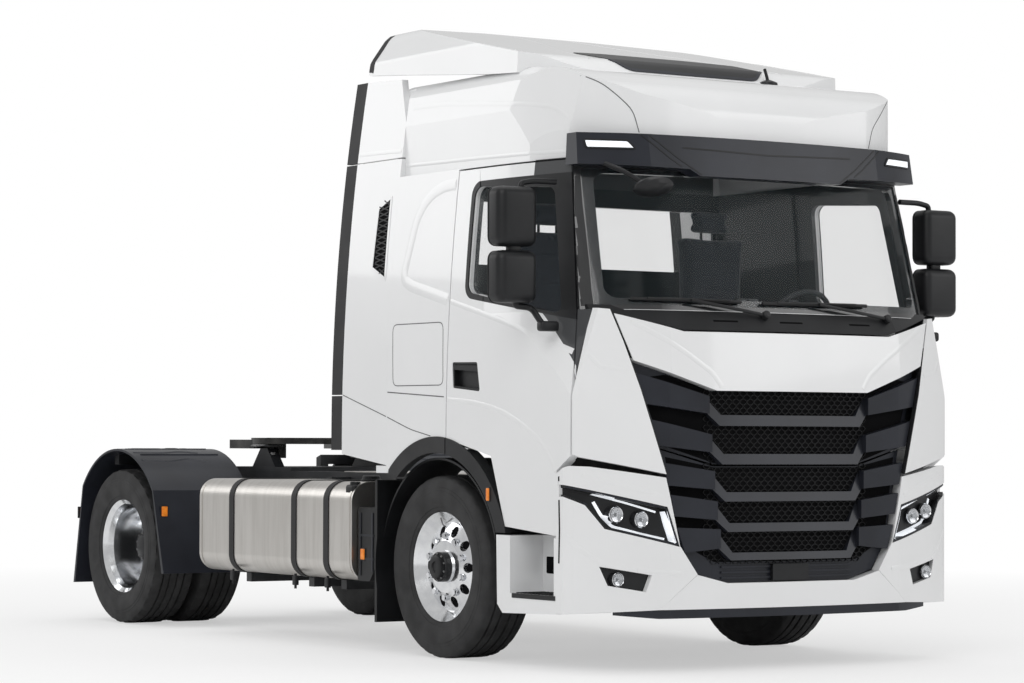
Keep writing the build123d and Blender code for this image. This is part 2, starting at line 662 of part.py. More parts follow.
def make_frame():
    rail_x = (RAIL_HALF - RAIL_FLANGE, RAIL_HALF)
    rail = block(rail_x, (RAIL_FRONT, TAIL_Y - 40), (RAIL_BOTTOM, RAIL_TOP))
    # legs in front, on the beam that carries the bumper
    rail += block(rail_x, (-1400, RAIL_FRONT + 1), (BEAM_TOP + SEAT, RAIL_TOP))
    behind = bow_form(MESH_Y + MESH_THICK + SEAT, 0, 300, 1200)
    rail += block((380, 424), (-1600, -1390), (640, 700)) & behind
    # outriggers for the steps
    rail += block((RAIL_HALF - 1, 930 - SEAT), (-1010, -930), (BEAM_TOP, 640))
    rail += block((RAIL_HALF - 1, RAIL_HALF + 60), (-1010, -930), (BEAM_TOP, RAIL_TOP - 40))
    # posts that the cab rests on
    for y in (-1290, 450):
        rail += block(rail_x, (y, y + 70), (RAIL_TOP - 1, CAB_FLOOR - SEAT))
    # tank cradles
    for y in STRAP_Y:
        wide, foot = (y - 30, y + 30), TANK_LOW - 60
        arm = block((RAIL_HALF - 1, TANK_IN - STRAP - 2 * SEAT), wide, (foot, RAIL_TOP - 30))
        arm += block((RAIL_HALF + 20, TANK_OUT - 120), wide, (foot, TANK_LOW - STRAP - 2 * SEAT))
        rail += arm
    beam = block((-820, 820), (-1400, RAIL_FRONT + 1), (430, BEAM_TOP))
    inside = bow_form(BUMPER_Y + BUMPER_SKIN + SEAT, 0, 300, 1200)
    beam += both(block((690, 760), (-1600, -1390), (440, 540)) & inside)
    beam += both(block((440, 480), (-1600, -1390), (440, 453)) & inside)
    frame = both(rail) + beam
    reach = RAIL_HALF - RAIL_FLANGE - SEAT
    for y in CROSS_Y:
        frame += block((-reach, reach), (y - 50, y + 50), (RAIL_BOTTOM + 40, RAIL_TOP - 60))
    return frame


save("frame", make_frame())


# ---- fuel tanks ----
def tank_section(grow, front, rear):
    r = 110 + grow
    line = ((TANK_IN - grow, TANK_LOW - grow), (TANK_OUT + grow, TANK_LOW - grow),
            (TANK_OUT + grow, TANK_HIGH + grow), (TANK_IN - grow, TANK_HIGH + grow))
    return prism(line, "y", front, rear, r)


save("fuel_tanks", both(tank_section(0, TANK_FRONT, TANK_REAR)))
straps = [tank_section(SEAT + STRAP, y - 27, y + 27) - tank_section(SEAT, y - 30, y + 30) for y in STRAP_Y]
save("tank_straps", both(sum(straps[1:], straps[0])))

# ---- battery box ----
BATTERY_REAR = TANK_FRONT - 10
battery_side = ((640, 470), (700, 390), (BATTERY_REAR, 390), (BATTERY_REAR, 804), (640, 804))
battery = prism(battery_side, "x", RAIL_HALF + SEAT, 1205, 15)
save("battery_box", both(battery))

# ---- drive line under the cab ----
ENGINE_HALF = RAIL_HALF - RAIL_FLANGE - SEAT
save("engine_block", block((-ENGINE_HALF, ENGINE_HALF), (-900, 350), (560, 1090)))
save("radiator", block((-330, 330), (RAIL_FRONT - 150, RAIL_FRONT - 40), (560 + SEAT, 1040)))

# ---- axles ----
BEAM_Z = 440


def make_front_axle():
    beam = block((-KINGPIN_X + 60, KINGPIN_X - 60), (-50, 50), (BEAM_Z - 60, BEAM_Z + 40))
    for hand in (-1, 1):
        eye = rod("z", 62, BEAM_Z - 60, BEAM_Z + 90, hand * KINGPIN_X, 0)
        beam += eye
    for hand in (-1, 1):
        beam -= rod("z", KINGPIN_R + RUNNING, BEAM_Z - 80, BEAM_Z + 120, hand * KINGPIN_X, 0)
    return beam


save("front_axle", make_front_axle())
SPRING_X = (350, 420)


def make_front_springs():
    low = BEAM_Z + 40 + SEAT
    under = ((-850, 640), (-60, low), (60, low), (850, 640))
    over = ((850, 665), (60, low + 45), (-60, low + 45), (-850, 665))
    leaf = prism(under + over, "x", *SPRING_X)
    leaf += block(SPRING_X, (-850, -800), (640, RAIL_BOTTOM - SEAT))
    leaf += block(SPRING_X, (800, 850), (640, RAIL_BOTTOM - SEAT))
    return both(leaf)


AXLE_TUBE_R = 78
# (x, radius) of the drive axle's case, which is round about the wheels' centre line
AXLE_CASE = ((-190, 0), (-190, AXLE_TUBE_R), (-95, 205), (95, 205), (190, AXLE_TUBE_R), (190, 0))
STUB_R = 60
TWIN_END = REAR_WHEEL_X - TWIN_SPACING / 2 + 120


def make_rear_axle():
    axle = rod("x", AXLE_TUBE_R, -540, 540, WHEELBASE, WHEEL_Z)
    axle += ring_x(AXLE_CASE, WHEELBASE, WHEEL_Z)
    axle += rod("y", 110, WHEELBASE - 330, WHEELBASE, 0, WHEEL_Z + 40)
    axle += rod("x", STUB_R, -TWIN_END, TWIN_END, WHEELBASE, WHEEL_Z)
    # arms that carry the springs and locate the axle
    arm_y = (WHEELBASE - 520, WHEELBASE + 420)
    axle += both(block((RAIL_HALF - 75, RAIL_HALF - 5), arm_y, (WHEEL_Z - 40, WHEEL_Z + 30)))
    return axle


save("rear_axle", make_rear_axle())
save("propshaft", rod("y", 55, 350 + SEAT, WHEELBASE - 330 - SEAT, 0, 600))
BAG_R, BAG_LOW, BAG_HIGH = 120, WHEEL_Z + 30 + SEAT, RAIL_BOTTOM - SEAT
bags = [rod("z", BAG_R, BAG_LOW, BAG_HIGH, RAIL_HALF - 40, WHEELBASE + dy) for dy in (-400, 300)]
save("springs", make_front_springs(), both(bags[0] + bags[1]))

# ---- front mudguards ----
GUARD_R = 580


def make_front_mudguards():
    ring = rod("x", GUARD_R + 12, 880, 1195, 0, WHEEL_Z) - rod("x", GUARD_R, 870, 1200, 0, WHEEL_Z)
    ring &= block((0, 1300), (-560, 700), (640, 1300))
    flap = block((880, 1240), (GUARD_R - 16, GUARD_R + 8), (170, 960))
    ring += flap - rod("x", GUARD_R, 870, 1300, 0, WHEEL_Z)
    stay = block((RAIL_HALF + SEAT, 885), (500, 540), (800, 840))
    ring += stay - rod("x", GUARD_R + 5, 870, 1200, 0, WHEEL_Z)
    return both(ring)


save("front_mudguards", make_front_mudguards())

# ---- rear mudguards ----
FENDER_R = 632
FENDER_DY, FENDER_Z = -18, 490     # its arc's centre, from the axle and from the ground
FENDER_ANGLES = (144, 90, 38)
FENDER_FRONT, FENDER_REAR = (WHEELBASE - 680, 344), (WHEELBASE + 608, 240)
FENDER_WALL = 14


def guard_point(reach, angle):
    """(y, z) at a distance and an angle from the mudguard's centre."""
    turn = math.radians(angle)
    return WHEELBASE + FENDER_DY + reach * math.cos(turn), FENDER_Z + reach * math.sin(turn)


def guard_outline(shrink):
    """Front foot, arc's front end, crown and rear end, and rear foot of the mudguard, moved in by shrink."""
    reach, drop = FENDER_R - shrink, 4 * shrink
    arc = [guard_point(reach, angle) for angle in FENDER_ANGLES]
    (front, low), (rear, end) = FENDER_FRONT, FENDER_REAR
    return (front + shrink, low - drop), *arc, (rear - shrink, end - drop)


def guard_solid(shrink, low, high):
    """All that lies under the mudguard's line."""
    foot, start, crown, end, heel = [(low, y, z) for y, z in guard_outline(shrink)]
    edges = [Line(foot, start), ThreePointArc(start, crown, end), Line(end, heel), Line(heel, foot)]
    return extrude(make_face(edges), amount=high - low, dir=(1, 0, 0))


def make_rear_mudguards():
    guard = guard_solid(0, 570, 1250) - guard_solid(FENDER_WALL, 500, 1300)
    # ribs across the crown
    for angle in (62, 78, 94, 110):
        y, z = guard_point(FENDER_R - 4, angle)
        guard += Pos(910, y, z) * Rot(90 - angle, 0, 0) * Box(560, 14, 16)
    return both(guard), guard_solid(FENDER_WALL, 0, 1300)


rear_mudguards, under_guard = make_rear_mudguards()
save("rear_mudguards", rear_mudguards)
# stays that carry them from the frame, behind the reach of the fifth wheel's horns
STAY_Y = (WHEELBASE + 150, WHEELBASE + 210)
stay = block((RAIL_HALF - 60, 1150), STAY_Y, (1020, 1300))
stay += block((RAIL_HALF - 60, RAIL_HALF), STAY_Y, (RAIL_TOP - 1, 1300))
nodes["frame"] += both(stay & Pos(0, 0, -SEAT) * under_guard)

# ---- tail ----
tail = block((-900, 900), (TAIL_Y - 40 + SEAT, TAIL_Y - 10), (RAIL_BOTTOM - 40, RAIL_BOTTOM + 90))
lamp = block((560, 880), (TAIL_Y - 11, TAIL_Y), (RAIL_BOTTOM - 30, RAIL_BOTTOM + 80))
save("tail_bar", tail + both(lamp))
save("deck_plate", block((-RAIL_HALF, RAIL_HALF), (900, 2300), (RAIL_TOP + SEAT, RAIL_TOP + 6)))

# ---- fifth wheel ----
FIFTH_Y = WHEELBASE - 450
PIVOT_Z = 1110
PLATE_TOP = 1196
PLATE_THICK = 40
PLATE_R = 450
PIN_R = 25.4
JAW_R = PIN_R + 0.2
PIVOT_R = 28
BASE_TOP = RAIL_TOP + SEAT + 24
FOOT_TOP = PIVOT_Z + 18


def make_fifth_base():
    base = block((-RAIL_HALF, RAIL_HALF), (FIFTH_Y - 380, FIFTH_Y + 380), (RAIL_TOP + SEAT, BASE_TOP))
    side = ((-150, BASE_TOP - 1), (150, BASE_TOP - 1), (45, FOOT_TOP), (-45, FOOT_TOP))
    foot = prism([(FIFTH_Y + y, z) for y, z in side], "x", 340, 410)
    base += both(foot + rod("x", PIVOT_R, 270, 345, FIFTH_Y, PIVOT_Z))
    return base


def make_fifth_plate():
    top = rod("z", PLATE_R, PLATE_TOP - PLATE_THICK, PLATE_TOP, 0, FIFTH_Y - 20)
    top &= block((-500, 500), (FIFTH_Y - 600, FIFTH_Y + 320), (1000, 1300))
    horn_line = [(x, FIFTH_Y + y) for x, y in ((200, 100), (430, 100), (400, 480), (330, 500))]
    horn = prism(horn_line, "z", PLATE_TOP - PLATE_THICK - 30, PLATE_TOP - 12)
    plate = top + both(horn)
    mouth = ((-JAW_R, FIFTH_Y + 60), (JAW_R, FIFTH_Y + 60), (200, FIFTH_Y + 600), (-200, FIFTH_Y + 600))
    plate -= prism(mouth, "z", 1000, 1300)
    plate -= rod("z", JAW_R, 1000, 1300, 0, FIFTH_Y)
    lug = block((278, 330), (FIFTH_Y - 60, FIFTH_Y + 60), (PIVOT_Z - 45, PLATE_TOP - PLATE_THICK + 1))
    plate += both(lug)
    plate -= both(rod("x", PIVOT_R + RUNNING, 260, 340, FIFTH_Y, PIVOT_Z))
    return plate


save("fifth_wheel_base", make_fifth_base())
save("fifth_wheel_plate", make_fifth_plate())


# ---- doors ----
def mirror_case(low, high):
    """One rounded mirror housing between two heights."""
    plan = ((1300, -1105), (1420, -1128), (1545, -1105), (1545, -985), (1300, -985))
    case = prism(plan, "z", low, high, (45, 300, 45, 14, 14))
    ends = case.faces().filter_by(Axis.Z)
    return fillet([edge for face in ends for edge in face.edges()], 12)


def pane_slab():
    """A flat sheet that leans as the door's skin does."""
    reach = ((-1400, 1700), (0, 1700), (0, 2700), (-1400, 2700))
    corners = [(PANE_X + PANE_DY * y + PANE_DZ * z, y, z) for y, z in reach]
    return extrude(make_face(Polyline(*corners, close=True)), amount=PANE_THICK, dir=(1, 0, 0))


def door_piece(hand, outer, inner, cutter):
    skin = side_skin(outer, inner, -2000, 500)
    low, high = sorted((hand * 900, hand * 1400))
    return skin & cutter & block((low, high), (-2000, 500), (400, 3000))


for hand, side in ((-1, "right"), (1, "left")):
    low, high = sorted((hand * 900, hand * 1400))
    outline = grown(DOOR_OUTLINE, 0, "x", low, high)
    window = prism(WINDOW_OUTLINE, "x", low, high, WINDOW_RADII)
    door = door_piece(hand, 0, DOOR_THICK, outline) - window - arch(ARCH_OUTER + SEAT, -1400, 1400)
    frame_cut = grown(WINDOW_FRAME, 0, "x", low, high, WINDOW_FRAME_RADII)
    handle_cut = grown(HANDLE_LINE, 0, "x", low, high, 12)
    door -= block(sorted((hand * 1100, hand * DOOR_EDGE_X)), (DOOR_FRONT - 10, DOOR_EDGE_Y), (1000, 1700))
    door -= side_skin(-5, TRIM_DEPTH, -2000, 500) & frame_cut
    door -= side_skin(-5, 45, -2000, 500) & handle_cut
    save("door_" + side, door)
    pane = grown(WINDOW_OUTLINE, -SEAT, "x", 900, 1400, WINDOW_RADII) & pane_slab()
    save("door_glass_" + side, pane if hand > 0 else mirror(pane, about=Plane.YZ))
    trim = arch(ARCH_OUTER, low, high) - arch(ARCH_INNER, low - 1, high + 1)
    trim &= side_skin(-6, DOOR_THICK, -2000, DOOR_REAR, 200, 1400)
    trim &= block((low, high), (-800, DOOR_REAR), (700, 1300))
    frame_line = grown(WINDOW_FRAME, -SEAT, "x", low, high, WINDOW_FRAME_RADII) & outline
    frame = door_piece(hand, 0, TRIM_DEPTH - SEAT, frame_line) - window
    pocket = door_piece(hand, 4, 45 - SEAT, grown(HANDLE_LINE, -SEAT, "x", low, high, 12))
    pocket -= door_piece(hand, 3, 34, grown(HANDLE_LINE, -12, "x", low, high, 12))
    grip = door_piece(hand, 4, 16, grown(HANDLE_GRIP, 0, "x", low, high, 8))
    save("arch_trim_" + side, trim)
    save("door_trim_" + side, frame, pocket + grip)
    # mirror with its arms
    housing = mirror_case(2170, 2480) + mirror_case(1880, 2150)
    housing += block((1400, 1450), (-1075, -1035), (2140, 2180))
    foot_low = block((1100, 1330), (-1200, -1150), (1740, 1790))
    bend = ((-1200, 1740), (-1150, 1740), (-1040, 1840), (-1040, 1885), (-1070, 1885), (-1200, 1790))
    arm_low = prism(bend, "x", 1290, 1330, 10)
    arm_low += block((1290, 1420), (-1072, -1040), (1850, 1885))
    foot_high = block((1000, 1330), (-1085, -1040), (2500, 2530))
    arm_high = block((1290, 1420), (-1085, -1040), (2476, 2530))
    mirror_piece = housing + foot_low + arm_low + arm_high + foot_high - side_form(-SEAT, -2000, 500)
    if hand < 0:
        mirror_piece = mirror(mirror_piece, about=Plane.YZ)
    save("mirror_" + side, mirror_piece)

rear_trim = arch(ARCH_OUTER, -1400, 1400) - arch(ARCH_INNER, -1400, 1400)
rear_trim &= side_skin(-6, 40, DOOR_REAR + SHUT, 500, 200, 1400)
rear_trim &= block((-1400, 1400), (DOOR_REAR + SHUT, 420), (980, 1300))
save("cab_trims", rear_trim, make_deflector_strips())

# ---- cab interior ----
FLOOR_TOP = CAB_FLOOR + FLOOR_THICK
FIREWALL_IN = FIREWALL_Y + END_WALL + SEAT
DASH_HALF = 1075
# (y, z) of the dashboard's side view
DASH_SIDE = ((FIREWALL_IN + 30, 1500), (-1000, 1560), (-960, 1760), (-1150, 1840), (FIREWALL_IN + 30, 1845))
dash = prism(DASH_SIDE, "x", -DASH_HALF, DASH_HALF, 30) & bow_form(FIREWALL_IN, 0, 1000, 2000)
save("dashboard", dash & side_form(CAB_WALL + SEAT, -2000, 0))

WHEEL_X = 560                      # the seats' and the steering wheel's distance from the centre line
STEER_R, STEER_GRIP = 215, 15
STEER_PLACE = Pos(WHEEL_X, -905, 1810) * Rot(-62, 0, 0)


def make_steering_wheel():
    turns = [i * math.pi / 4 for i in range(8)]
    grip = [(STEER_R + STEER_GRIP * math.cos(a), 0, STEER_GRIP * math.sin(a)) for a in turns]
    wheel = revolve(make_face(Polyline(*grip, close=True)), axis=Axis.Z)
    wheel += Cylinder(60, 30) + Pos(0, 0, -60) * Cylinder(30, 110) + Box(2 * STEER_R - 10, 30, 16)
    face = [(y + SEAT, z + SEAT) for y, z in DASH_SIDE[1:4]]
    behind = [(FIREWALL_IN - 600, 1500), *face, (FIREWALL_IN - 600, 1845)]
    return STEER_PLACE * wheel - prism(behind, "x", 0, DASH_HALF)


save("steering_wheel", make_steering_wheel())


def seat(x):
    """One seat: pad, back, headrest and plinth."""
    pad = block((x - 250, x + 250), (-560, -60), (1560, 1700))
    back = prism(((-120, 1700), (0, 1700), (90, 2330), (0, 2350)), "x", x - 240, x + 240, (0, 0, 25, 25))
    head = prism(((10, 2320), (70, 2320), (95, 2500), (25, 2500)), "x", x - 130, x + 130, (0, 0, 25, 25))
    plinth = block((x - 200, x + 200), (-500, -100), (FLOOR_TOP + SEAT, 1561))
    return pad + back + head + plinth


save("seats", both(seat(WHEEL_X)))
BUNK_TOP = 1700
BUNK_HALF = side_x(BUNK_TOP) - CAB_WALL - 3
BUNK_REAR = CAB_REAR - END_WALL - SEAT
save("bunk", block((-BUNK_HALF, BUNK_HALF), (120, BUNK_REAR), (FLOOR_TOP + SEAT, BUNK_TOP)))


# ---- knuckles and wheels ----
def tyre_section(x0):
    """(x, radius) round a tyre whose middle is at x0."""
    half, seat = TYRE_WIDTH / 2, RIM_WIDTH / 2 - 18 - SEAT
    left = ((-seat, BEAD_R + SEAT), (-seat, RIM_R + 2), (-half, 385), (-half + 30, TYRE_R))
    return [(x0 + x, r) for x, r in left] + [(x0 - x, r) for x, r in reversed(left)]


# (x from the outer lip, radius) of the barrel, from its outer lip over the seat to its inner lip
BARREL = (
    (0, RIM_R), (-18, BEAD_R), (18 - RIM_WIDTH, BEAD_R),
    (-RIM_WIDTH, RIM_R), (-RIM_WIDTH, 288), (18 - RIM_WIDTH, 274),
)
HUB_BORE = 88
HAND_HOLES, HAND_HOLE_R, HAND_CIRCLE = 10, 27, 195
# the front disc stands out towards the lip, the rear one lies deep in the barrel
FRONT_DISC = (
    (-80, 262), (-60, 130), (-34, 120), (-34, HUB_BORE), (-15, HUB_BORE), (-15, 142), (-56, 240), (-25, 272),
)
TWIN_FACE = REAR_WHEEL_X - TWIN_SPACING / 2
DEEP = TWIN_FACE + SEAT / 2 - (REAR_WHEEL_X + RIM_WIDTH / 2)
REAR_DISC = (
    (DEEP + 20, 250), (DEEP, 225), (DEEP, HUB_BORE), (DEEP + 14, HUB_BORE), (DEEP + 14, 218),
    (DEEP + 34, 242), (-60, 260), (-25, 272),
)


def rim(lip, y, disc, hole_from, hole_to):
    """A wheel rim whose outer lip is at x = lip, with round hand holes in its disc."""
    shape = ring_x([(lip + x, r) for x, r in BARREL + disc], y, WHEEL_Z)
    for i in range(HAND_HOLES):
        angle = 2 * math.pi * i / HAND_HOLES
        shape -= rod("x", HAND_HOLE_R, lip + hole_from, lip + hole_to,
                     y + HAND_CIRCLE * math.cos(angle), WHEEL_Z + HAND_CIRCLE * math.sin(angle))
    return shape


FRONT_LIP = FRONT_WHEEL_X + RIM_WIDTH / 2
REAR_LIP = REAR_WHEEL_X + RIM_WIDTH / 2
STUB_BORE = STUB_R + RUNNING


def make_front_rim():
    hub = rod("x", 110, KINGPIN_X + 95, FRONT_LIP - 34, 0, WHEEL_Z)
    hub += rod("x", HUB_BORE + 1, FRONT_LIP - 40, FRONT_LIP - 6, 0, WHEEL_Z)
    hub -= rod("x", STUB_BORE, 0, FRONT_LIP - 20, 0, WHEEL_Z)
    return rim(FRONT_LIP, 0, FRONT_DISC, -90, 0) + hub


def make_rear_rims():
    outer = rim(REAR_LIP, WHEELBASE, REAR_DISC, DEEP - 10, DEEP + 40)
    hub = rod("x", HUB_BORE + 1, TWIN_FACE - 120, TWIN_FACE + 150, WHEELBASE, WHEEL_Z)
    hub -= rod("x", STUB_BORE, 0, TWIN_FACE + 130, WHEELBASE, WHEEL_Z)
    inner = mirror(outer, about=Plane.YZ.offset(TWIN_FACE))
    return outer + inner + hub


def make_knuckle():
    """Kingpin, fork, and the stub that the front wheel turns on."""
    shape = rod("z", KINGPIN_R, BEAM_Z - 110, BEAM_Z + 150, KINGPIN_X, 0)
    for low, high in ((BEAM_Z - 110, BEAM_Z - 62), (BEAM_Z + 92, BEAM_Z + 150)):
        shape += block((KINGPIN_X - 45, KINGPIN_X + 80), (-50, 50), (low, high))
    shape += block((KINGPIN_X + 64, KINGPIN_X + 80), (-70, 70), (BEAM_Z - 110, BEAM_Z + 180))
    return shape + rod("x", STUB_R, KINGPIN_X + 75, FRONT_LIP - 22, 0, WHEEL_Z)


front_tyre = ring_x(tyre_section(FRONT_WHEEL_X), 0, WHEEL_Z)
TWIN_X = (REAR_WHEEL_X, REAR_WHEEL_X - TWIN_SPACING)
rear_tyres = [ring_x(tyre_section(x), WHEELBASE, WHEEL_Z) for x in TWIN_X]
WHEEL_PIECES = (
    ("knuckle_", make_knuckle()),
    ("tyre_front_", front_tyre),
    ("rim_front_", make_front_rim()),
    ("tyres_rear_", rear_tyres[0] + rear_tyres[1]),
    ("rims_rear_", make_rear_rims()),
)
for name, shape in WHEEL_PIECES:
    save(name + "left", shape)
    save(name + "right", mirror(shape, about=Plane.YZ))

os.makedirs("parts", exist_ok=True)
for name, shape in nodes.items():
    export_step(Pos(0, -Y_MID, 0) * shape, f"parts/{name}.step")
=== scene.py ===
import math

import bmesh
import bpy
from bpy.props import FloatProperty, FloatVectorProperty, IntProperty, PointerProperty
from mathutils import Matrix, Vector
from mathutils.bvhtree import BVHTree


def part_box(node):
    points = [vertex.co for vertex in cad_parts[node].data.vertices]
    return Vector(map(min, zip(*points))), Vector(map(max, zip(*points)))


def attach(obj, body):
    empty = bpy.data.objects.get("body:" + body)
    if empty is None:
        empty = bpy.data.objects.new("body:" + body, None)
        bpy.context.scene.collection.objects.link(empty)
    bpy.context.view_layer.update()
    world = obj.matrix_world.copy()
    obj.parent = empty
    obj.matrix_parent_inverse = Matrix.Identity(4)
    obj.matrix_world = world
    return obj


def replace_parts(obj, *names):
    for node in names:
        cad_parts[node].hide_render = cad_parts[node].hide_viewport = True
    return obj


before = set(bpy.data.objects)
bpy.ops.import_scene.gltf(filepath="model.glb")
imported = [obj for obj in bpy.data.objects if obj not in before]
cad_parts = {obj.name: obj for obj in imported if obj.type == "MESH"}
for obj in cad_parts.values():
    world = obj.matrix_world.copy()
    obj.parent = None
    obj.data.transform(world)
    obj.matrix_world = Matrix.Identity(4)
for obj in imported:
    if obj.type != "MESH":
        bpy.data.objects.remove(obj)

bl_info = {
    "name": "Tractor Unit",
    "version": (1, 0, 0),
    "blender": (4, 5, 0),
    "location": "3D View > Sidebar > Tractor",
    "description": "Dresses a cab-over tractor unit: paint, tyres, lamps, grille, mirrors and cab interior",
    "category": "Object",
}

# Metres, +Y to the rear. Stations are given from the front axle and moved by FRONT_AXLE.
FRONT_AXLE = -1.435
REAR_AXLE = 2.365
HUB_Z = 0.496
SIDES = (("left", 1), ("right", -1))
IMAGE_WIDTH = 1024
SENSOR = 36.0


def station(y):
    """Row coordinate of a station measured from the front axle."""
    return y + FRONT_AXLE


# ---- materials ----
def new_material(name, color, roughness, metallic=0.0, **sockets):
    """A Principled material with its plain sockets set, and its nodes to build on."""
    material = bpy.data.materials.new(name)
    material.use_nodes = True
    shader = principled(material)
    shader.inputs["Base Color"].default_value = (*color, 1)
    shader.inputs["Roughness"].default_value = roughness
    shader.inputs["Metallic"].default_value = metallic
    for socket, value in sockets.items():
        shader.inputs[socket.replace("_", " ")].default_value = value
    return material


def add_node(owner, kind, links=(), **settings):
    """A node in a material, world or tree, with its sockets filled from other sockets or from values."""
    tree = getattr(owner, "node_tree", owner)
    node = tree.nodes.new(kind)
    for key, value in settings.items():
        if hasattr(node, key):
            setattr(node, key, value)
        else:
            node.inputs[key].default_value = value
    for key, source in links:
        tree.links.new(source, node.inputs[key])
    return node


def link(owner, source, target):
    owner.node_tree.links.new(source, target)


def principled(material):
    return material.node_tree.nodes["Principled BSDF"]


def soft_noise(material, scale, detail, stretch):
    """Noise on the piece's own coordinates."""
    coords = add_node(material, "ShaderNodeTexCoord")
    mapping = add_node(material, "ShaderNodeMapping", [("Vector", coords.outputs["Object"])], Scale=stretch)
    noise = add_node(material, "ShaderNodeTexNoise", [("Vector", mapping.outputs["Vector"])],
                     Scale=scale, Detail=detail)
    return noise.outputs["Fac"]


def mottle(material, scale, dark, light, detail=4.0, stretch=(1, 1, 1)):
    """Lets the colour drift between two shades with a soft noise."""
    ramp = add_node(material, "ShaderNodeValToRGB", [("Fac", soft_noise(material, scale, detail, stretch))])
    for element, position, color in zip(ramp.color_ramp.elements, (0.35, 0.65), (dark, light)):
        element.position, element.color = position, (*color, 1)
    link(material, ramp.outputs["Color"], principled(material).inputs["Base Color"])


def grain(material, scale, depth, strength=0.5, stretch=(1, 1, 1), detail=3.0):
    """A fine noise pressed into the surface."""
    height = soft_noise(material, scale, detail, stretch)
    bump = add_node(material, "ShaderNodeBump", [("Height", height)], Distance=depth, Strength=strength)
    link(material, bump.outputs["Normal"], principled(material).inputs["Normal"])


def scaled(color, share):
    """A colour made darker or lighter."""
    return tuple(min(1, c * share) for c in color)


def finish(name, color, roughness, drift, press=None, metallic=0.0, **sockets):
    """A material from its drift (scale, dark, light) and the grain pressed into it (scale, depth, strength).

    drift may end with the noise's detail and stretch, and press with its stretch.
    """
    material = new_material(name, color, roughness, metallic, **sockets)
    mottle(material, *drift)
    if press:
        grain(material, *press)
    return material


def body_paint(color, name="body paint"):
    """Gloss paint under a clear coat."""
    return finish(name, color, 0.3, (1.3, scaled(color, 0.965), color), (260, 0.00015, 0.15),
                  Coat_Weight=0.8, Coat_Roughness=0.06)


def dark_plastic(color):
    """The tinted plastic of the grille bars, visor and mudguards."""
    return finish("dark plastic", color, 0.3, (3.0, scaled(color, 0.8), scaled(color, 1.15)),
                  (900, 0.0002, 0.25), Specular_IOR_Level=0.32)


def shade(name, color, roughness, metallic=0.0, **sockets):
    """A near plain finish for seams and shadows, with a little drift in its tone."""
    drift = (15.0, scaled(color, 0.85), scaled(color, 1.12))
    return finish(name, color, roughness, drift, None, metallic, **sockets)


def fixed_finishes():
    """The finishes that no setting changes."""
    return (
        finish("black plastic", (0.01, 0.0105, 0.012), 0.42,
               (4.0, (0.007, 0.0075, 0.0085), (0.013, 0.0135, 0.015)), (700, 0.0003, 0.35),
               Specular_IOR_Level=0.35),
        finish("black rubber", (0.011, 0.011, 0.012), 0.6,
               (6.0, (0.008, 0.008, 0.009), (0.017, 0.017, 0.018)), (400, 0.0004, 0.3)),
        finish("tyre rubber", (0.02, 0.02, 0.021), 0.72, (9.0, (0.014, 0.014, 0.0145), (0.03, 0.03, 0.031)),
               (350, 0.0006, 0.4)),
        finish("chassis paint", (0.016, 0.017, 0.02), 0.45,
               (5.0, (0.011, 0.012, 0.014), (0.026, 0.027, 0.03)), (180, 0.0006, 0.3)),
        finish("cast iron", (0.03, 0.03, 0.032), 0.6, (12.0, (0.02, 0.02, 0.021), (0.05, 0.048, 0.046)),
               (160, 0.0015, 0.5), 0.4),
        finish("greased plate", (0.03, 0.03, 0.032), 0.35, (7.0, (0.012, 0.012, 0.013), (0.07, 0.068, 0.065)),
               (60, 0.001, 0.4), 0.7),
        finish("satin aluminium", (0.62, 0.6, 0.57), 0.34,
               (2.0, (0.58, 0.56, 0.53), (0.66, 0.64, 0.61), 4.0, (1, 12, 1)),
               (120, 0.0002, 0.25, (30, 1, 30)), 1.0),
        finish("polished alloy", (0.82, 0.83, 0.85), 0.16, (20.0, (0.78, 0.79, 0.81), (0.88, 0.89, 0.9)),
               (90, 0.0002, 0.2), 1.0),
        finish("chrome", (0.75, 0.76, 0.78), 0.08, (30.0, (0.7, 0.71, 0.73), (0.8, 0.81, 0.83)), None, 1.0),
        finish("dull steel", (0.22, 0.22, 0.225), 0.42, (14.0, (0.15, 0.15, 0.155), (0.3, 0.3, 0.3)),
               (200, 0.0004, 0.3), 0.9),
        finish("tinted glass", (0.03, 0.05, 0.056), 0.03, (1.5, (0.027, 0.046, 0.052), (0.034, 0.055, 0.062)),
               Alpha=0.08),
        finish("lamp cover", (0.6, 0.63, 0.66), 0.02,
               (2.0, (0.58, 0.61, 0.64), (0.64, 0.67, 0.7)), Alpha=0.16),
        finish("lamp strip", (0.85, 0.87, 0.9), 0.25, (40.0, (0.8, 0.82, 0.85), (0.92, 0.94, 0.96)),
               Emission_Strength=0.5, Emission_Color=(0.9, 0.94, 1.0, 1)),
        finish("amber lens", (0.75, 0.2, 0.02), 0.2, (50.0, (0.65, 0.16, 0.015), (0.85, 0.26, 0.03)),
               Emission_Strength=0.15, Emission_Color=(1.0, 0.3, 0.03, 1)),
        finish("red lens", (0.4, 0.01, 0.008), 0.2, (50.0, (0.33, 0.008, 0.006), (0.48, 0.014, 0.01))),
        finish("cabin trim", (0.05, 0.052, 0.056), 0.6, (5.0, (0.042, 0.044, 0.048), (0.062, 0.064, 0.068)),
               (500, 0.0004, 0.4)),
        finish("mirror glass", (0.7, 0.73, 0.75), 0.02,
               (1.5, (0.68, 0.71, 0.73), (0.74, 0.77, 0.79)), None, 1.0),
        # Painted shade: near black for holes, gaps, slots and recesses.
        shade("deep shadow", (0.003, 0.003, 0.0035), 0.9, Specular_IOR_Level=0.1),
        shade("seam", (0.12, 0.12, 0.125), 0.6),
        shade("lamp reflector", (0.55, 0.56, 0.58), 0.12, 1.0),
        shade("gloss black", (0.012, 0.013, 0.015), 0.08),
        shade("grease", (0.008, 0.008, 0.009), 0.25),
    )


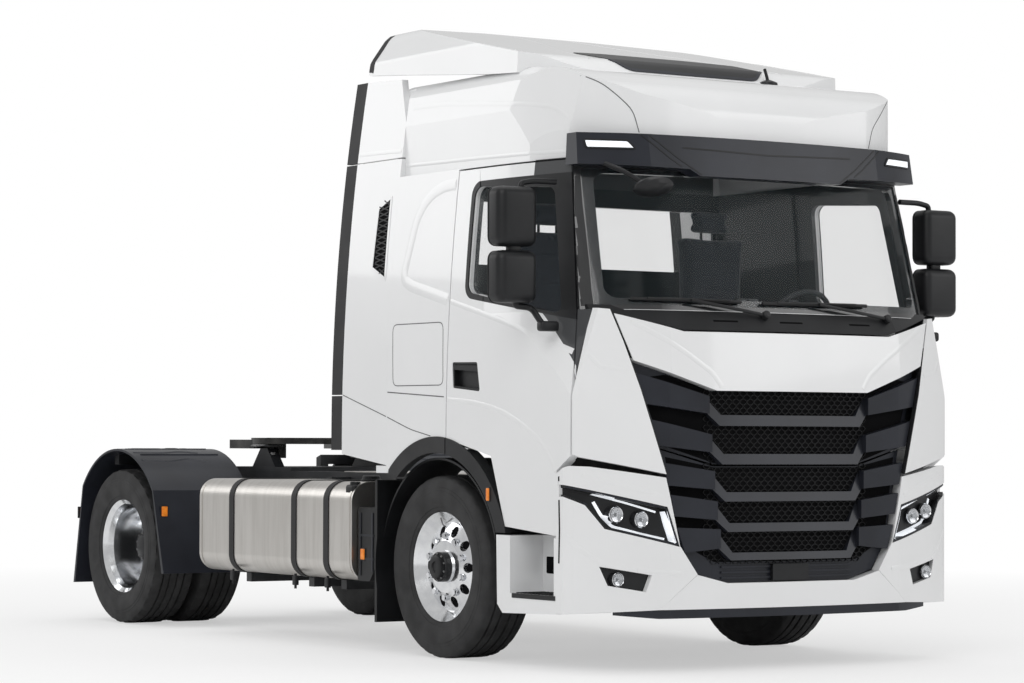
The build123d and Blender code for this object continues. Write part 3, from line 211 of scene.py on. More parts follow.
def cloth(color, name):
    """Woven seat cloth, its weave on the piece's own coordinates."""
    material = new_material(name, color, 0.85, Sheen_Weight=0.3)
    coords = add_node(material, "ShaderNodeTexCoord")
    weave = add_node(material, "ShaderNodeTexVoronoi", [("Vector", coords.outputs["Object"])], Scale=260.0)
    bump = add_node(material, "ShaderNodeBump", [("Height", weave.outputs["Distance"])],
                    Distance=0.0006, Strength=0.6)
    link(material, bump.outputs["Normal"], principled(material).inputs["Normal"])
    mottle(material, 120.0, scaled(color, 0.75), scaled(color, 1.2))
    return material


def maths(owner, operation, a, b=0.0):
    """A Math node from sockets or numbers, in a material or a node tree; returns its output."""
    tree = getattr(owner, "node_tree", owner)
    node = tree.nodes.new("ShaderNodeMath")
    node.operation = operation
    for i, value in enumerate((a, b)):
        if hasattr(value, "is_output"):
            tree.links.new(value, node.inputs[i])
        else:
            node.inputs[i].default_value = value
    return node.outputs[0]


def zoned_paint(color, name, zones):
    """Body paint that turns to another finish inside zones built from the piece's own coordinates."""
    material = body_paint(color, name)
    shader = principled(material)
    coords = add_node(material, "ShaderNodeTexCoord")
    parts = add_node(material, "ShaderNodeSeparateXYZ", [(0, coords.outputs["Object"])])
    x = maths(material, "ABSOLUTE", parts.outputs["X"])
    base = shader.inputs["Base Color"].links[0].from_socket
    rough = None
    for other, roughness, inside in zones:
        mask = inside(material, x, parts.outputs["Y"], parts.outputs["Z"])
        mix = add_node(material, "ShaderNodeMix", data_type="RGBA")
        link(material, mask, mix.inputs["Factor"])
        link(material, base, mix.inputs[6])
        mix.inputs[7].default_value = (*other, 1)
        base = mix.outputs[2]
        span = add_node(material, "ShaderNodeMix", [("Factor", mask)], data_type="FLOAT")
        span.inputs[2].default_value = shader.inputs["Roughness"].default_value
        if rough is not None:
            link(material, rough, span.inputs[2])
        span.inputs[3].default_value = roughness
        rough = span.outputs[0]
    link(material, base, shader.inputs["Base Color"])
    link(material, rough, shader.inputs["Roughness"])
    return material


def all_true(material, first, *masks):
    """One mask where every one of them is 1."""
    for mask in masks:
        first = maths(material, "MULTIPLY", first, mask)
    return first


def leaning(material, value, height, foot, share):
    """A coordinate less its lean: share of the height over foot."""
    rise = maths(material, "SUBTRACT", height, foot)
    return maths(material, "SUBTRACT", value, maths(material, "MULTIPLY", rise, share))


def inner_zone(material, x, y, z):
    """Inside the cab: away from the outer faces of its walls, floor and front."""
    rise = maths(material, "SUBTRACT", z, 1.2)
    lean = maths(material, "DIVIDE", maths(material, "MULTIPLY", rise, rise), 25.0)
    wall = maths(material, "LESS_THAN", maths(material, "ADD", x, lean), 1.215)
    rear = maths(material, "LESS_THAN", y, station(0.53))
    front = maths(material, "GREATER_THAN", y, station(-1.36))
    return all_true(material, wall, rear, front, maths(material, "GREATER_THAN", z, 1.18))


def pillar_zone(material, x, y, z):
    """The posts beside the windscreen and the strip over it, ahead of the doors."""
    ahead = maths(material, "LESS_THAN", leaning(material, y, z, 1.798, 126 / 768), station(-1.235))
    above = maths(material, "GREATER_THAN", z, 1.852)
    return all_true(material, ahead, above, maths(material, "LESS_THAN", z, 2.62))


def under_roof_zone(material, x, y, z):
    """The roof's inner side, well inside its outer faces."""
    rise = maths(material, "MAXIMUM", maths(material, "SUBTRACT", z, 2.9), 0.0)
    lean = maths(material, "MULTIPLY", rise, 0.35)
    wall = maths(material, "LESS_THAN", maths(material, "ADD", x, lean), 1.062)
    rear = maths(material, "LESS_THAN", y, station(0.53))
    front = maths(material, "GREATER_THAN", y, station(-0.93))
    return all_true(material, maths(material, "LESS_THAN", z, 3.11), wall, rear, front)


def grille_gap_painted_shade_zone(material, x, y, z):
    """The corner panels' edge beside the grille, painted near black as shade where it lies inside the
    grille's gaps.
    """
    return maths(material, "LESS_THAN", leaning(material, x, z, 1.0, 182 / 590), 0.7905)


def floor_finish(color):
    """The pale floor, which the camera sees as plain white far from the truck."""
    material = new_material("floor", color, 0.9)
    mottle(material, 0.4, scaled(color, 0.985), color)
    coords = add_node(material, "ShaderNodeTexCoord")
    away = add_node(material, "ShaderNodeVectorMath", [(0, coords.outputs["Object"])], operation="LENGTH")
    fade = add_node(material, "ShaderNodeMapRange", [("Value", away.outputs["Value"])], **{
        "From Min": 2.5, "From Max": 11.0, "To Min": 0.5, "To Max": 1.0})
    amount = maths(material, "MULTIPLY", fade.outputs["Result"], seen_directly(material))
    white = add_node(material, "ShaderNodeEmission")
    blend = add_node(material, "ShaderNodeMixShader", [
        ("Fac", amount), (1, principled(material).outputs[0]), (2, white.outputs[0])])
    link(material, blend.outputs[0], material.node_tree.nodes["Material Output"].inputs["Surface"])
    return material


def seen_directly(owner):
    """1 for what is seen directly or through glass."""
    path = add_node(owner, "ShaderNodeLightPath")
    return maths(owner, "MAXIMUM", path.outputs["Is Camera Ray"], path.outputs["Is Transmission Ray"])


# Materials by name, filled by the finishes operator
palette = {}

NODE_FINISH = {
    "cab paint": ("cab_shell", "door_left", "door_right"),
    "corner paint": ("corner_panels",),
    "roof paint": ("roof",),
    "body paint": ("roof_spoiler", "side_deflectors", "nose_panel", "bumper_corners", "bumper_centre",
                   "steps"),
    "dark plastic": ("sun_visor", "upper_grille", "lower_grille", "rear_mudguards"),
    "black plastic": ("mirror_left", "mirror_right", "door_trim_left", "door_trim_right", "cowl",
                      "front_lamps", "battery_box", "front_mudguards", "arch_trim_left", "arch_trim_right"),
    "black rubber": ("cab_trims", "tank_straps"),
    "tyre rubber": ("tyre_front_left", "tyre_front_right", "tyres_rear_left", "tyres_rear_right"),
    "chassis paint": ("frame", "springs", "fifth_wheel_base", "tail_bar"),
    "cast iron": ("front_axle", "rear_axle", "engine_block", "knuckle_left", "knuckle_right"),
    "greased plate": ("fifth_wheel_plate",),
    "satin aluminium": ("fuel_tanks", "deck_plate", "radiator"),
    "polished alloy": ("rim_front_left", "rim_front_right", "rims_rear_left", "rims_rear_right"),
    "dull steel": ("propshaft",),
    "tinted glass": ("cab_glass", "door_glass_left", "door_glass_right"),
    "cabin trim": ("dashboard", "steering_wheel"),
    "seat cloth": ("seats", "bunk"),
}


# ---- mesh helpers ----
def metres(x, y, z):
    """A point given in millimetres from the front axle's middle, on the ground."""
    return Vector((x / 1000, y / 1000 + FRONT_AXLE, z / 1000))


def make_object(name, verts, faces, material, smooth=True, angle=35):
    """A mesh object at the origin from plain lists, with one material."""
    mesh = bpy.data.meshes.new(name)
    mesh.from_pydata(verts, [], faces)
    mesh.update()
    piece = bpy.data.objects.new(name, mesh)
    bpy.context.scene.collection.objects.link(piece)
    mesh.materials.append(palette[material])
    tidy_mesh(piece, smooth, angle)
    return piece


def tidy_mesh(piece, smooth=True, angle=35):
    """Points the faces outwards and sets smooth shading with sharp edges kept."""
    bm = bmesh.new()
    bm.from_mesh(piece.data)
    bmesh.ops.remove_doubles(bm, verts=bm.verts, dist=1e-6)
    bmesh.ops.recalc_face_normals(bm, faces=bm.faces)
    for edge in bm.edges:
        sharp = not edge.is_manifold or edge.calc_face_angle(0) > math.radians(angle)
        edge.smooth = not sharp
    for face in bm.faces:
        face.smooth = smooth
    bm.to_mesh(piece.data)
    bm.free()


def settle(piece, body):
    """Gives a finished piece its body."""
    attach(piece, body)
    return piece


def build(name, material, body, slot, *shapes, smooth=True, angle=35):
    """Loose shapes, each its points and faces, gathered into one finished piece."""
    verts, faces = [], []
    for spots, rings in shapes:
        base = len(verts)
        verts += [tuple(v) for v in spots]
        faces += [tuple(base + i for i in ring) for ring in rings]
    return settle(make_object(name, verts, faces, material, smooth, angle), body)


def across(hand, low, high):
    """The span in X of something on one side."""
    return sorted((hand * low, hand * high))


def path(hand, *points):
    """Points in millimetres on one side, as places in metres."""
    return [metres(hand * x, y, z) for x, y, z in points]


def rounded(points, radius, steps=4, closed=True):
    """An outline with its corners rounded off; points are 2-D or 3-D."""
    ring = [Vector(p) for p in points]
    out = []
    for i, corner in enumerate(ring):
        if not closed and i in (0, len(ring) - 1):
            out.append(corner)
            continue
        before, after = ring[i - 1], ring[(i + 1) % len(ring)]
        cut = min(radius, (before - corner).length * 0.45, (after - corner).length * 0.45)
        start = corner + (before - corner).normalized() * cut
        end = corner + (after - corner).normalized() * cut
        for k in range(steps + 1):
            t = k / steps
            out.append(start * (1 - t) ** 2 + corner * 2 * t * (1 - t) + end * t ** 2)
    return out


def lump(x, y, z, bevel=4, segments=2):
    """A block with rounded edges from its low and high X, Y and Z in millimetres."""
    bm = bmesh.new()
    bmesh.ops.create_cube(bm, size=1)
    low, high = metres(x[0], y[0], z[0]), metres(x[1], y[1], z[1])
    size, middle = high - low, (high + low) / 2
    for vert in bm.verts:
        vert.co = Vector(middle[i] + vert.co[i] * size[i] for i in range(3))
    if bevel:
        bmesh.ops.bevel(bm, geom=bm.edges[:], offset=bevel / 1000, segments=segments, profile=0.5,
                        affect="EDGES")
    bm.verts.index_update()
    shape = [v.co.copy() for v in bm.verts], [[v.index for v in f.verts] for f in bm.faces]
    bm.free()
    return shape


def turned(profile, centre, axis, segments=24, closed=True):
    """A profile of (distance along the axis, radius) in metres, turned about an axis through centre."""
    way = Vector(axis).normalized()
    side = way.orthogonal().normalized()
    up = way.cross(side)
    verts, faces, count = [], [], len(profile)
    for i in range(segments):
        angle = 2 * math.pi * i / segments
        out = side * math.cos(angle) + up * math.sin(angle)
        verts += [centre + way * along + out * radius for along, radius in profile]
    spans = count if closed else count - 1
    for i in range(segments):
        a, b = i * count, ((i + 1) % segments) * count
        faces += [(a + j, a + (j + 1) % count, b + (j + 1) % count, b + j) for j in range(spans)]
    if not closed:
        faces.append([i * count for i in range(segments)])
        faces.append([i * count + count - 1 for i in range(segments)])
    return verts, faces


def tube(points, radius, sides=10, bend=0):
    """A round bar through points in metres; bend rounds its corners."""
    line = rounded(points, bend, 5, closed=False) if bend else [Vector(p) for p in points]
    verts, faces = [], []
    side = None
    for i, point in enumerate(line):
        way = (line[min(i + 1, len(line) - 1)] - line[max(i - 1, 0)]).normalized()
        side = way.orthogonal() if side is None else side - way * side.dot(way)
        side.normalize()
        up = way.cross(side)
        for k in range(sides):
            angle = 2 * math.pi * k / sides
            verts.append(point + (side * math.cos(angle) + up * math.sin(angle)) * radius)
    for i in range(len(line) - 1):
        a, b = i * sides, (i + 1) * sides
        faces += [(a + k, a + (k + 1) % sides, b + (k + 1) % sides, b + k) for k in range(sides)]
    faces.append(list(range(sides)))
    faces.append(list(range(len(verts) - sides, len(verts))))
    return verts, faces


class Surface:
    """What a ray from one side first meets on some of the frame's pieces."""

    def __init__(self, *nodes):
        verts, faces = [], []
        for node in nodes:
            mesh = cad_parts[node].data
            base = len(verts)
            verts += [v.co.copy() for v in mesh.vertices]
            faces += [[base + i for i in p.vertices] for p in mesh.polygons]
        self.tree = BVHTree.FromPolygons(verts, faces)

    def meet(self, view, hand, a, b):
        """Point and outward direction for two coordinates in millimetres, or None."""
        starts = {
            "front": (metres(hand * a, -6000, b), Vector((0, 1, 0))),
            "rear": (metres(hand * a, 9000, b), Vector((0, -1, 0))),
            "inside": (metres(hand * a, -900, b), Vector((0, -1, 0))),
            "side": (metres(hand * 4000, a, b), Vector((-hand, 0, 0))),
            "top": (metres(hand * a, b, 6000), Vector((0, 0, -1))),
        }
        start, way = starts[view]
        spot, out, _, _ = self.tree.ray_cast(start, way)
        if spot is None:
            return None
        return spot, (-out if out.dot(way) > 0 else out)


def resampled(points, step, closed=False):
    """A line cut into even pieces no longer than about step."""
    line = [Vector(p) for p in points]
    if closed:
        line.append(line[0])
    out = []
    for a, b in zip(line, line[1:]):
        count = max(1, round((b - a).length / step))
        out += [a.lerp(b, i / count) for i in range(count)]
    return out + [line[-1]]


def ribbon(surface, view, hand, points, width, lift=0.8, closed=False, bed=1.5, step=25, reach=None,
           ridge=0.0):
    """A thin strip laid on a surface along a line drawn from one side.

    reach drops what lies deeper, and ridge lifts its middle into a soft fold.
    """
    rows = resampled(points, step, closed)
    verts, faces, last = [], [], None
    count = 5 if ridge else 4
    for i, point in enumerate(rows):
        before = rows[i - 1] if i else (rows[-2] if closed else point)
        after = rows[i + 1] if i + 1 < len(rows) else (rows[1] if closed else point)
        way = (after - before).normalized()
        across = Vector((-way.y, way.x)) * width / 2
        pair = [surface.meet(view, hand, q.x, q.y) for q in (point + across, point - across)]
        if None in pair or (reach and (pair[0][0] - pair[1][0]).length > reach / 1000):
            if last is not None:
                faces.append([last + j for j in range(count)])
            last = None
            continue
        base = len(verts)
        section = [spot + out * lift / 1000 for spot, out in pair]
        if ridge:
            out = (pair[0][1] + pair[1][1]).normalized()
            section.insert(1, (section[0] + section[1]) / 2 + out * ridge / 1000)
        verts += section + [spot - out * bed / 1000 for spot, out in reversed(pair)]
        if last is None:
            faces.append([base + j for j in reversed(range(count))])
        else:
            faces += [(last + j, last + (j + 1) % count, base + (j + 1) % count, base + j)
                      for j in range(count)]
        last = base
    if last is not None:
        faces.append([last + j for j in range(count)])
    return verts, faces


def flat_grid(outline, step):
    """A closed outline filled with a flat grid of small faces."""
    bm = bmesh.new()
    bm.faces.new([bm.verts.new((p[0], p[1], 0)) for p in outline])
    for axis in (0, 1):
        values = [p[axis] for p in outline]
        count = max(1, math.ceil((max(values) - min(values)) / step))
        for i in range(1, count):
            place, way = [0, 0, 0], [0, 0, 0]
            place[axis] = min(values) + (max(values) - min(values)) * i / count
            way[axis] = 1
            bmesh.ops.bisect_plane(
                bm, geom=bm.verts[:] + bm.edges[:] + bm.faces[:], dist=0.01, plane_co=place, plane_no=way)
    return bm


def thickened(bm, upper, lower):
    """A closed sheet with a mesh's faces above and below and walls round its open edges."""
    count = len(upper)
    faces = [[v.index for v in f.verts] for f in bm.faces]
    faces += [[count + i for i in reversed(face)] for face in faces]
    for edge in bm.edges:
        if edge.is_boundary:
            a, b = (v.index for v in edge.verts)
            faces.append((a, b, count + b, count + a))
    return upper + lower, faces


def skin(surface, view, hand, outline, lift=2.0, bed=2.0, step=30, far=None):
    """A thin closed panel that follows a surface inside an outline drawn from one side.

    far drops what lies behind that Y.
    """
    bm = flat_grid(outline, step)
    hits = {v: surface.meet(view, hand, v.co.x, v.co.y) for v in bm.verts}
    if far is not None:
        hits = {v: hit if hit and hit[0].y < far else None for v, hit in hits.items()}
    bmesh.ops.delete(bm, geom=[v for v in bm.verts if hits[v] is None], context="VERTS")
    bmesh.ops.triangulate(bm, faces=[f for f in bm.faces if len(f.verts) > 4])
    bm.verts.index_update()
    upper = [hits[v][0] + hits[v][1] * lift / 1000 for v in bm.verts]
    lower = [hits[v][0] - hits[v][1] * bed / 1000 for v in bm.verts]
    shape = thickened(bm, upper, lower)
    bm.free()
    return shape


# ---- geometry node helpers ----
def new_tree(name, inputs):
    """A geometry node tree with named inputs, each (name, socket type, default)."""
    tree = bpy.data.node_groups.new(name, "GeometryNodeTree")
    face = tree.interface
    face.new_socket("Geometry", in_out="INPUT", socket_type="NodeSocketGeometry")
    face.new_socket("Geometry", in_out="OUTPUT", socket_type="NodeSocketGeometry")
    for label, kind, default in inputs:
        socket = face.new_socket(label, in_out="INPUT", socket_type=kind)
        if default is not None:
            socket.default_value = default
    return tree, tree.nodes.new("NodeGroupInput"), tree.nodes.new("NodeGroupOutput")


def finish_tree(tree, source, output, material):
    """Real geometry with its material at the tree's end."""
    solid = add_node(tree, "GeometryNodeRealizeInstances", [("Geometry", source)])
    paint = add_node(tree, "GeometryNodeSetMaterial", [
        ("Geometry", solid.outputs[0]), ("Material", material)])
    tree.links.new(paint.outputs[0], output.inputs["Geometry"])


def grown_by(tree, name, values, start=None):
    """A plain mesh object from a tree and the values of its named inputs."""
    mesh = start if start is not None else bpy.data.meshes.new(name)
    piece = bpy.data.objects.new(name, mesh)
    bpy.context.scene.collection.objects.link(piece)
    modifier = piece.modifiers.new("grow", "NODES")
    modifier.node_group = tree
    for item in tree.interface.items_tree:
        if item.item_type == "SOCKET" and item.in_out == "INPUT" and item.name in values:
            modifier[item.identifier] = values[item.name]
    piece.update_tag()
    apply_stack(piece)
    piece.data.name = name
    return piece


def apply_stack(piece):
    """Turns a piece and its live modifiers into one plain mesh."""
    bpy.context.view_layer.update()
    made = bpy.data.meshes.new_from_object(piece.evaluated_get(bpy.context.evaluated_depsgraph_get()))
    piece.modifiers.clear()
    piece.data = made


def ring_tree():
    """Hexagon nuts round a circle about the X axis."""
    tree, source, output = new_tree("ring of nuts", [
        ("Count", "NodeSocketInt", 10), ("Radius", "NodeSocketFloat", 0.1675),
        ("Centre", "NodeSocketVector", None), ("Across", "NodeSocketFloat", 0.018),
        ("Height", "NodeSocketFloat", 0.03),
        ("Material", "NodeSocketMaterial", None)])
    circle = add_node(tree, "GeometryNodeMeshCircle", [
        ("Vertices", source.outputs["Count"]), ("Radius", source.outputs["Radius"])])
    place = add_node(tree, "GeometryNodeTransform", [
        ("Geometry", circle.outputs[0]), ("Translation", source.outputs["Centre"])],
        Rotation=(0, math.pi / 2, 0))
    nut = add_node(tree, "GeometryNodeMeshCylinder", [
        ("Radius", source.outputs["Across"]), ("Depth", source.outputs["Height"])], Vertices=6)
    washer = add_node(tree, "GeometryNodeMeshCylinder", Vertices=14, Radius=0.021, Depth=0.008)
    both = add_node(tree, "GeometryNodeJoinGeometry")
    tree.links.new(nut.outputs["Mesh"], both.inputs[0])
    tree.links.new(washer.outputs["Mesh"], both.inputs[0])
    turn = add_node(tree, "GeometryNodeTransform", [("Geometry", both.outputs[0])],
                    Rotation=(0, math.pi / 2, 0))
    copies = add_node(tree, "GeometryNodeInstanceOnPoints", [
        ("Points", place.outputs[0]), ("Instance", turn.outputs[0])])
    finish_tree(tree, copies.outputs[0], output, source.outputs["Material"])
    return tree


def row_tree():
    """Copies of one shape at even steps."""
    tree, source, output = new_tree("even row", [
        ("Count", "NodeSocketInt", 5), ("Step", "NodeSocketVector", None),
        ("Material", "NodeSocketMaterial", None)])
    line = add_node(tree, "GeometryNodeMeshLine", [
        ("Count", source.outputs["Count"]), ("Offset", source.outputs["Step"])])
    copies = add_node(tree, "GeometryNodeInstanceOnPoints", [
        ("Points", line.outputs[0]), ("Instance", source.outputs["Geometry"])])
    finish_tree(tree, copies.outputs[0], output, source.outputs["Material"])
    return tree


def hexagon_tree():
    """Hexagon rims in a honeycomb, laid on the target where a ray from ahead meets it."""
    tree, source, output = new_tree("honeycomb", [
        ("Target", "NodeSocketObject", None), ("Width", "NodeSocketFloat", 0.034),
        ("Height", "NodeSocketFloat", 0.024), ("Columns", "NodeSocketInt", 60), ("Rows", "NodeSocketInt", 60),
        ("Base", "NodeSocketVector", None), ("Depth", "NodeSocketFloat", 0.006),
        ("Material", "NodeSocketMaterial", None)])
    columns = source.outputs["Columns"]
    count = maths(tree, "MULTIPLY", columns, source.outputs["Rows"])
    points = add_node(tree, "GeometryNodePoints", [("Count", count)])
    index = add_node(tree, "GeometryNodeInputIndex").outputs[0]
    row = maths(tree, "FLOOR", maths(tree, "DIVIDE", index, columns))
    half = maths(tree, "MULTIPLY", maths(tree, "MODULO", row, 2), 0.5)
    across = maths(tree, "ADD", maths(tree, "MODULO", index, columns), half)
    x = maths(tree, "MULTIPLY", across, source.outputs["Width"])
    z = maths(tree, "MULTIPLY", row, maths(tree, "MULTIPLY", source.outputs["Height"], 0.75))
    spot = add_node(tree, "ShaderNodeCombineXYZ", [("X", x), ("Z", z)])
    shift = add_node(tree, "ShaderNodeVectorMath", [
        (0, spot.outputs[0]), (1, source.outputs["Base"])], operation="ADD")
    grid = add_node(tree, "GeometryNodeSetPosition", [
        ("Geometry", points.outputs[0]), ("Position", shift.outputs[0])])
    target = add_node(tree, "GeometryNodeObjectInfo", [("Object", source.outputs["Target"])])
    ray = add_node(tree, "GeometryNodeRaycast", [("Target Geometry", target.outputs["Geometry"])],
                   **{"Ray Direction": (0, 1, 0), "Ray Length": 5})
    missed = add_node(tree, "FunctionNodeBooleanMath", [(0, ray.outputs["Is Hit"])], operation="NOT")
    kept = add_node(tree, "GeometryNodeDeleteGeometry", [
        ("Geometry", grid.outputs[0]), ("Selection", missed.outputs[0])])
    laid = add_node(tree, "GeometryNodeSetPosition", [
        ("Geometry", kept.outputs[0]), ("Position", ray.outputs["Hit Position"])])
    outer = add_node(tree, "GeometryNodeMeshCircle", Vertices=6, Radius=0.5)
    ring = add_node(tree, "GeometryNodeMeshToCurve", [("Mesh", outer.outputs[0])])
    wire = add_node(tree, "GeometryNodeCurvePrimitiveQuadrilateral", Width=0.06, Height=0.2)
    rim = add_node(tree, "GeometryNodeCurveToMesh", [
        ("Curve", ring.outputs[0]), ("Profile Curve", wire.outputs[0])])
    size = add_node(tree, "ShaderNodeCombineXYZ", [
        ("X", source.outputs["Width"]), ("Y", source.outputs["Height"]), ("Z", source.outputs["Width"])])
    stand = add_node(tree, "GeometryNodeTransform", [
        ("Geometry", rim.outputs[0]), ("Scale", size.outputs[0])])
    upright = add_node(tree, "GeometryNodeTransform", [("Geometry", stand.outputs[0])],
                        Rotation=(math.pi / 2, 0, 0))
    copies = add_node(tree, "GeometryNodeInstanceOnPoints", [
        ("Points", laid.outputs[0]), ("Instance", upright.outputs[0])])
    finish_tree(tree, copies.outputs[0], output, source.outputs["Material"])
    return tree


# ---- settings ----
class TractorSettings(bpy.types.PropertyGroup):
    """Sizes and colours that a user would change."""
    paint: FloatVectorProperty(
        name="Paint", description="Colour of the cab and bumper", subtype="COLOR", size=3,
        default=(0.84, 0.845, 0.85))
    plastic: FloatVectorProperty(
        name="Plastic", description="Colour of the grille bars, visor and mudguards", subtype="COLOR", size=3,
        default=(0.019, 0.021, 0.028))
    floor: FloatVectorProperty(
        name="Floor", description="Colour of the floor", subtype="COLOR", size=3, default=(0.9, 0.9, 0.9))
    tyre_segments: IntProperty(
        name="Tyre segments", description="Facets round each tyre", min=24, max=256, default=128)
    groove_depth: FloatProperty(
        name="Groove depth", description="Depth of the tread's grooves", unit="LENGTH", default=0.013)
    groove_width: FloatProperty(
        name="Groove width", description="Width of the tread's grooves", unit="LENGTH", default=0.012)
    cell: FloatProperty(
        name="Mesh cell", description="Pitch of the grille's hexagons", unit="LENGTH", default=0.045)
    light: FloatProperty(
        name="Light", description="Strength of the studio lamps", min=0, default=1.0)


def settings():
    return bpy.context.scene.tractor_settings


# ---- stage ----
CAMERA_EYE = (-10.197, -15.643, 1.1715)
CAMERA_YAW, CAMERA_PITCH, CAMERA_ROLL = 32.906, 1.517, 0.192
CAMERA_FOCAL_PX = 3100.4
CAMERA_SHIFT = (0.0425, 0.0182)
FLOOR_REACH = 60
# Name, place, size and power of each lamp, all aimed at the middle of the truck
LAMPS = (
    ("key", (-9, -9, 9), (7, 7), 420),
    ("fill", (8, -11, 6), (8, 6), 260),
    ("top", (0, 0, 11), (9, 9), 300),
    ("back", (-7, 9, 6), (6, 5), 160),
)
LAMP_AIM = Vector((0, 0, 1.4))


def camera_matrix():
    """The camera's place and turn from its eye, yaw, pitch and roll."""
    yaw, pitch, roll = (math.radians(a) for a in (CAMERA_YAW, CAMERA_PITCH, CAMERA_ROLL))
    forward = Vector((math.sin(yaw) * math.cos(pitch), math.cos(yaw) * math.cos(pitch), math.sin(pitch)))
    level = Vector((math.cos(yaw), -math.sin(yaw), 0))
    up = level.cross(forward)
    right = level * math.cos(roll) + up * math.sin(roll)
    up = right.cross(forward)
    turn = Matrix((right, up, -forward)).transposed().to_4x4()
    return Matrix.Translation(CAMERA_EYE) @ turn


class TRACTOR_OT_stage(bpy.types.Operator):
    """Floor, lamps, world and camera"""
    bl_idname = "tractor.stage"
    bl_label = "Stage"

    def execute(self, context):
        scene = context.scene
        verts = [(x * FLOOR_REACH, y * FLOOR_REACH, 0) for x, y in ((-1, -1), (1, -1), (1, 1), (-1, 1))]
        floor = make_object("floor", verts, [(0, 1, 2, 3)], "floor", smooth=False)
        self.lamps(scene)
        self.world(scene)
        camera = bpy.data.cameras.new("camera")
        camera.sensor_width = SENSOR
        camera.lens = CAMERA_FOCAL_PX / IMAGE_WIDTH * SENSOR
        camera.shift_x, camera.shift_y = CAMERA_SHIFT
        camera.clip_end = 200
        eye = bpy.data.objects.new("camera", camera)
        eye.matrix_world = camera_matrix()
        scene.collection.objects.link(eye)
        scene.camera = eye
        scene.view_settings.view_transform = "Standard"
        return {"FINISHED"}

    def lamps(self, scene):
        for name, place, size, power in LAMPS:
            lamp = bpy.data.lights.new(name, "AREA")
            lamp.shape = "RECTANGLE"
            lamp.size, lamp.size_y = size
            lamp.energy = power * settings().light
            holder = bpy.data.objects.new(name, lamp)
            holder.location = place
            holder.rotation_euler = (LAMP_AIM - Vector(place)).to_track_quat("-Z", "Y").to_euler()
            scene.collection.objects.link(holder)

    def world(self, scene):
        """A white world, dimmer for what it lights than for what is seen directly."""
        world = bpy.data.worlds.new("studio")
        world.use_nodes = True
        scene.world = world
        background = world.node_tree.nodes["Background"]
        strength = add_node(world, "ShaderNodeMapRange", [("Value", seen_directly(world))],
                            **{"To Min": 0.55, "To Max": 1.0})
        link(world, strength.outputs["Result"], background.inputs["Strength"])
        background.inputs["Color"].default_value = (1, 1, 1, 1)


# ---- wheels ----
FRONT_X, REAR_X, TWIN_STEP = 1.041, 1.064, 0.345
TREAD_RADIUS = 0.4955
# Side wall from the bead out to the shoulder, as (x, radius)
WALL = ((0.106, 0.2868), (0.1065, 0.2995), (0.1245, 0.3003), (0.131, 0.306), (0.1365, 0.322), (0.1405, 0.324),
        (0.148, 0.35), (0.1535, 0.372), (0.1558, 0.395), (0.1552, 0.412), (0.1535, 0.414), (0.1522, 0.43),
        (0.1505, 0.432), (0.148, 0.452), (0.1445, 0.47), (0.1385, 0.4835), (0.131, 0.4905), (0.121, 0.4935))
# A hub's profile, the radius and stand of its bolts, and the lean of the rim's hand holes
HUBS = {
    "front": (((-0.03, 0.0), (-0.03, 0.083), (0.052, 0.081), (0.058, 0.076), (0.058, 0.066), (0.074, 0.062),
               (0.078, 0.055), (0.078, 0.03), (0.071, 0.026), (0.071, 0.0)), 0.071, 0.058, 0.42),
    "rear": (((0.001, 0.0), (0.001, 0.108), (0.02, 0.108), (0.026, 0.1), (0.134, 0.098), (0.144, 0.09),
              (0.144, 0.07), (0.152, 0.066), (0.156, 0.058), (0.156, 0.0)), 0.08, 0.144, 0.0),
}
HOLE_RING, RIM_NECK, BOLTS = 0.208, 0.167, 10


def tyre_section(depth, width, lugs):
    """Half section of a tyre from its bead out to the middle of the tread, as (x, radius)."""
    tread = []
    for centre in (0.074, 0.026) if lugs else (0.082, 0.03):
        tread += [(centre + width * 0.62, TREAD_RADIUS), (centre + width * 0.4, TREAD_RADIUS - depth),
                  (centre - width * 0.4, TREAD_RADIUS - depth), (centre - width * 0.62, 0.4958)]
    return [*WALL, *tread]


class TRACTOR_OT_tyres(bpy.types.Operator):
    """Tyres with ribbed treads, shoulder notches and moulded side walls"""
    bl_idname = "tractor.tyres"
    bl_label = "Tyres"

    def execute(self, context):
        for side, hand in SIDES:
            self.tyre(f"tyre_tread_front_{side}", f"tyre_front_{side}", f"wheel_front_{side}",
                      (hand * FRONT_X,), FRONT_AXLE, False)
            self.tyre(f"tyre_tread_rear_{side}", f"tyres_rear_{side}", f"wheels_rear_{side}",
                      (hand * REAR_X, hand * (REAR_X - TWIN_STEP)), REAR_AXLE, True)
        return {"FINISHED"}

    def tyre(self, name, node, body, places, y, lugs):
        values = settings()
        half = tyre_section(values.groove_depth, values.groove_width, lugs)
        ring = [(-x, r) for x, r in half] + half[::-1]
        notched, shoulder, cut = (2, 0.1, 0.011) if lugs else (1, 0.118, 0.004)
        shapes = []
        for x in places:
            verts, faces = turned(ring, Vector((x, y, HUB_Z)), (1, 0, 0), values.tyre_segments)
            for i, vert in enumerate(verts):
                along, radius = ring[i % len(ring)]
                if (i // len(ring)) % 4 >= notched:
                    continue
                out = Vector((0, vert.y - y, vert.z - HUB_Z)).normalized()
                if radius > 0.488 and abs(along) > shoulder:
                    vert -= out * cut
                elif lugs and radius > 0.4954 and abs(along) < 0.06:
                    vert -= out * 0.005
            shapes.append((verts, faces))
        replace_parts(build(name, "tyre rubber", body, "tyre", *shapes, angle=28), node)


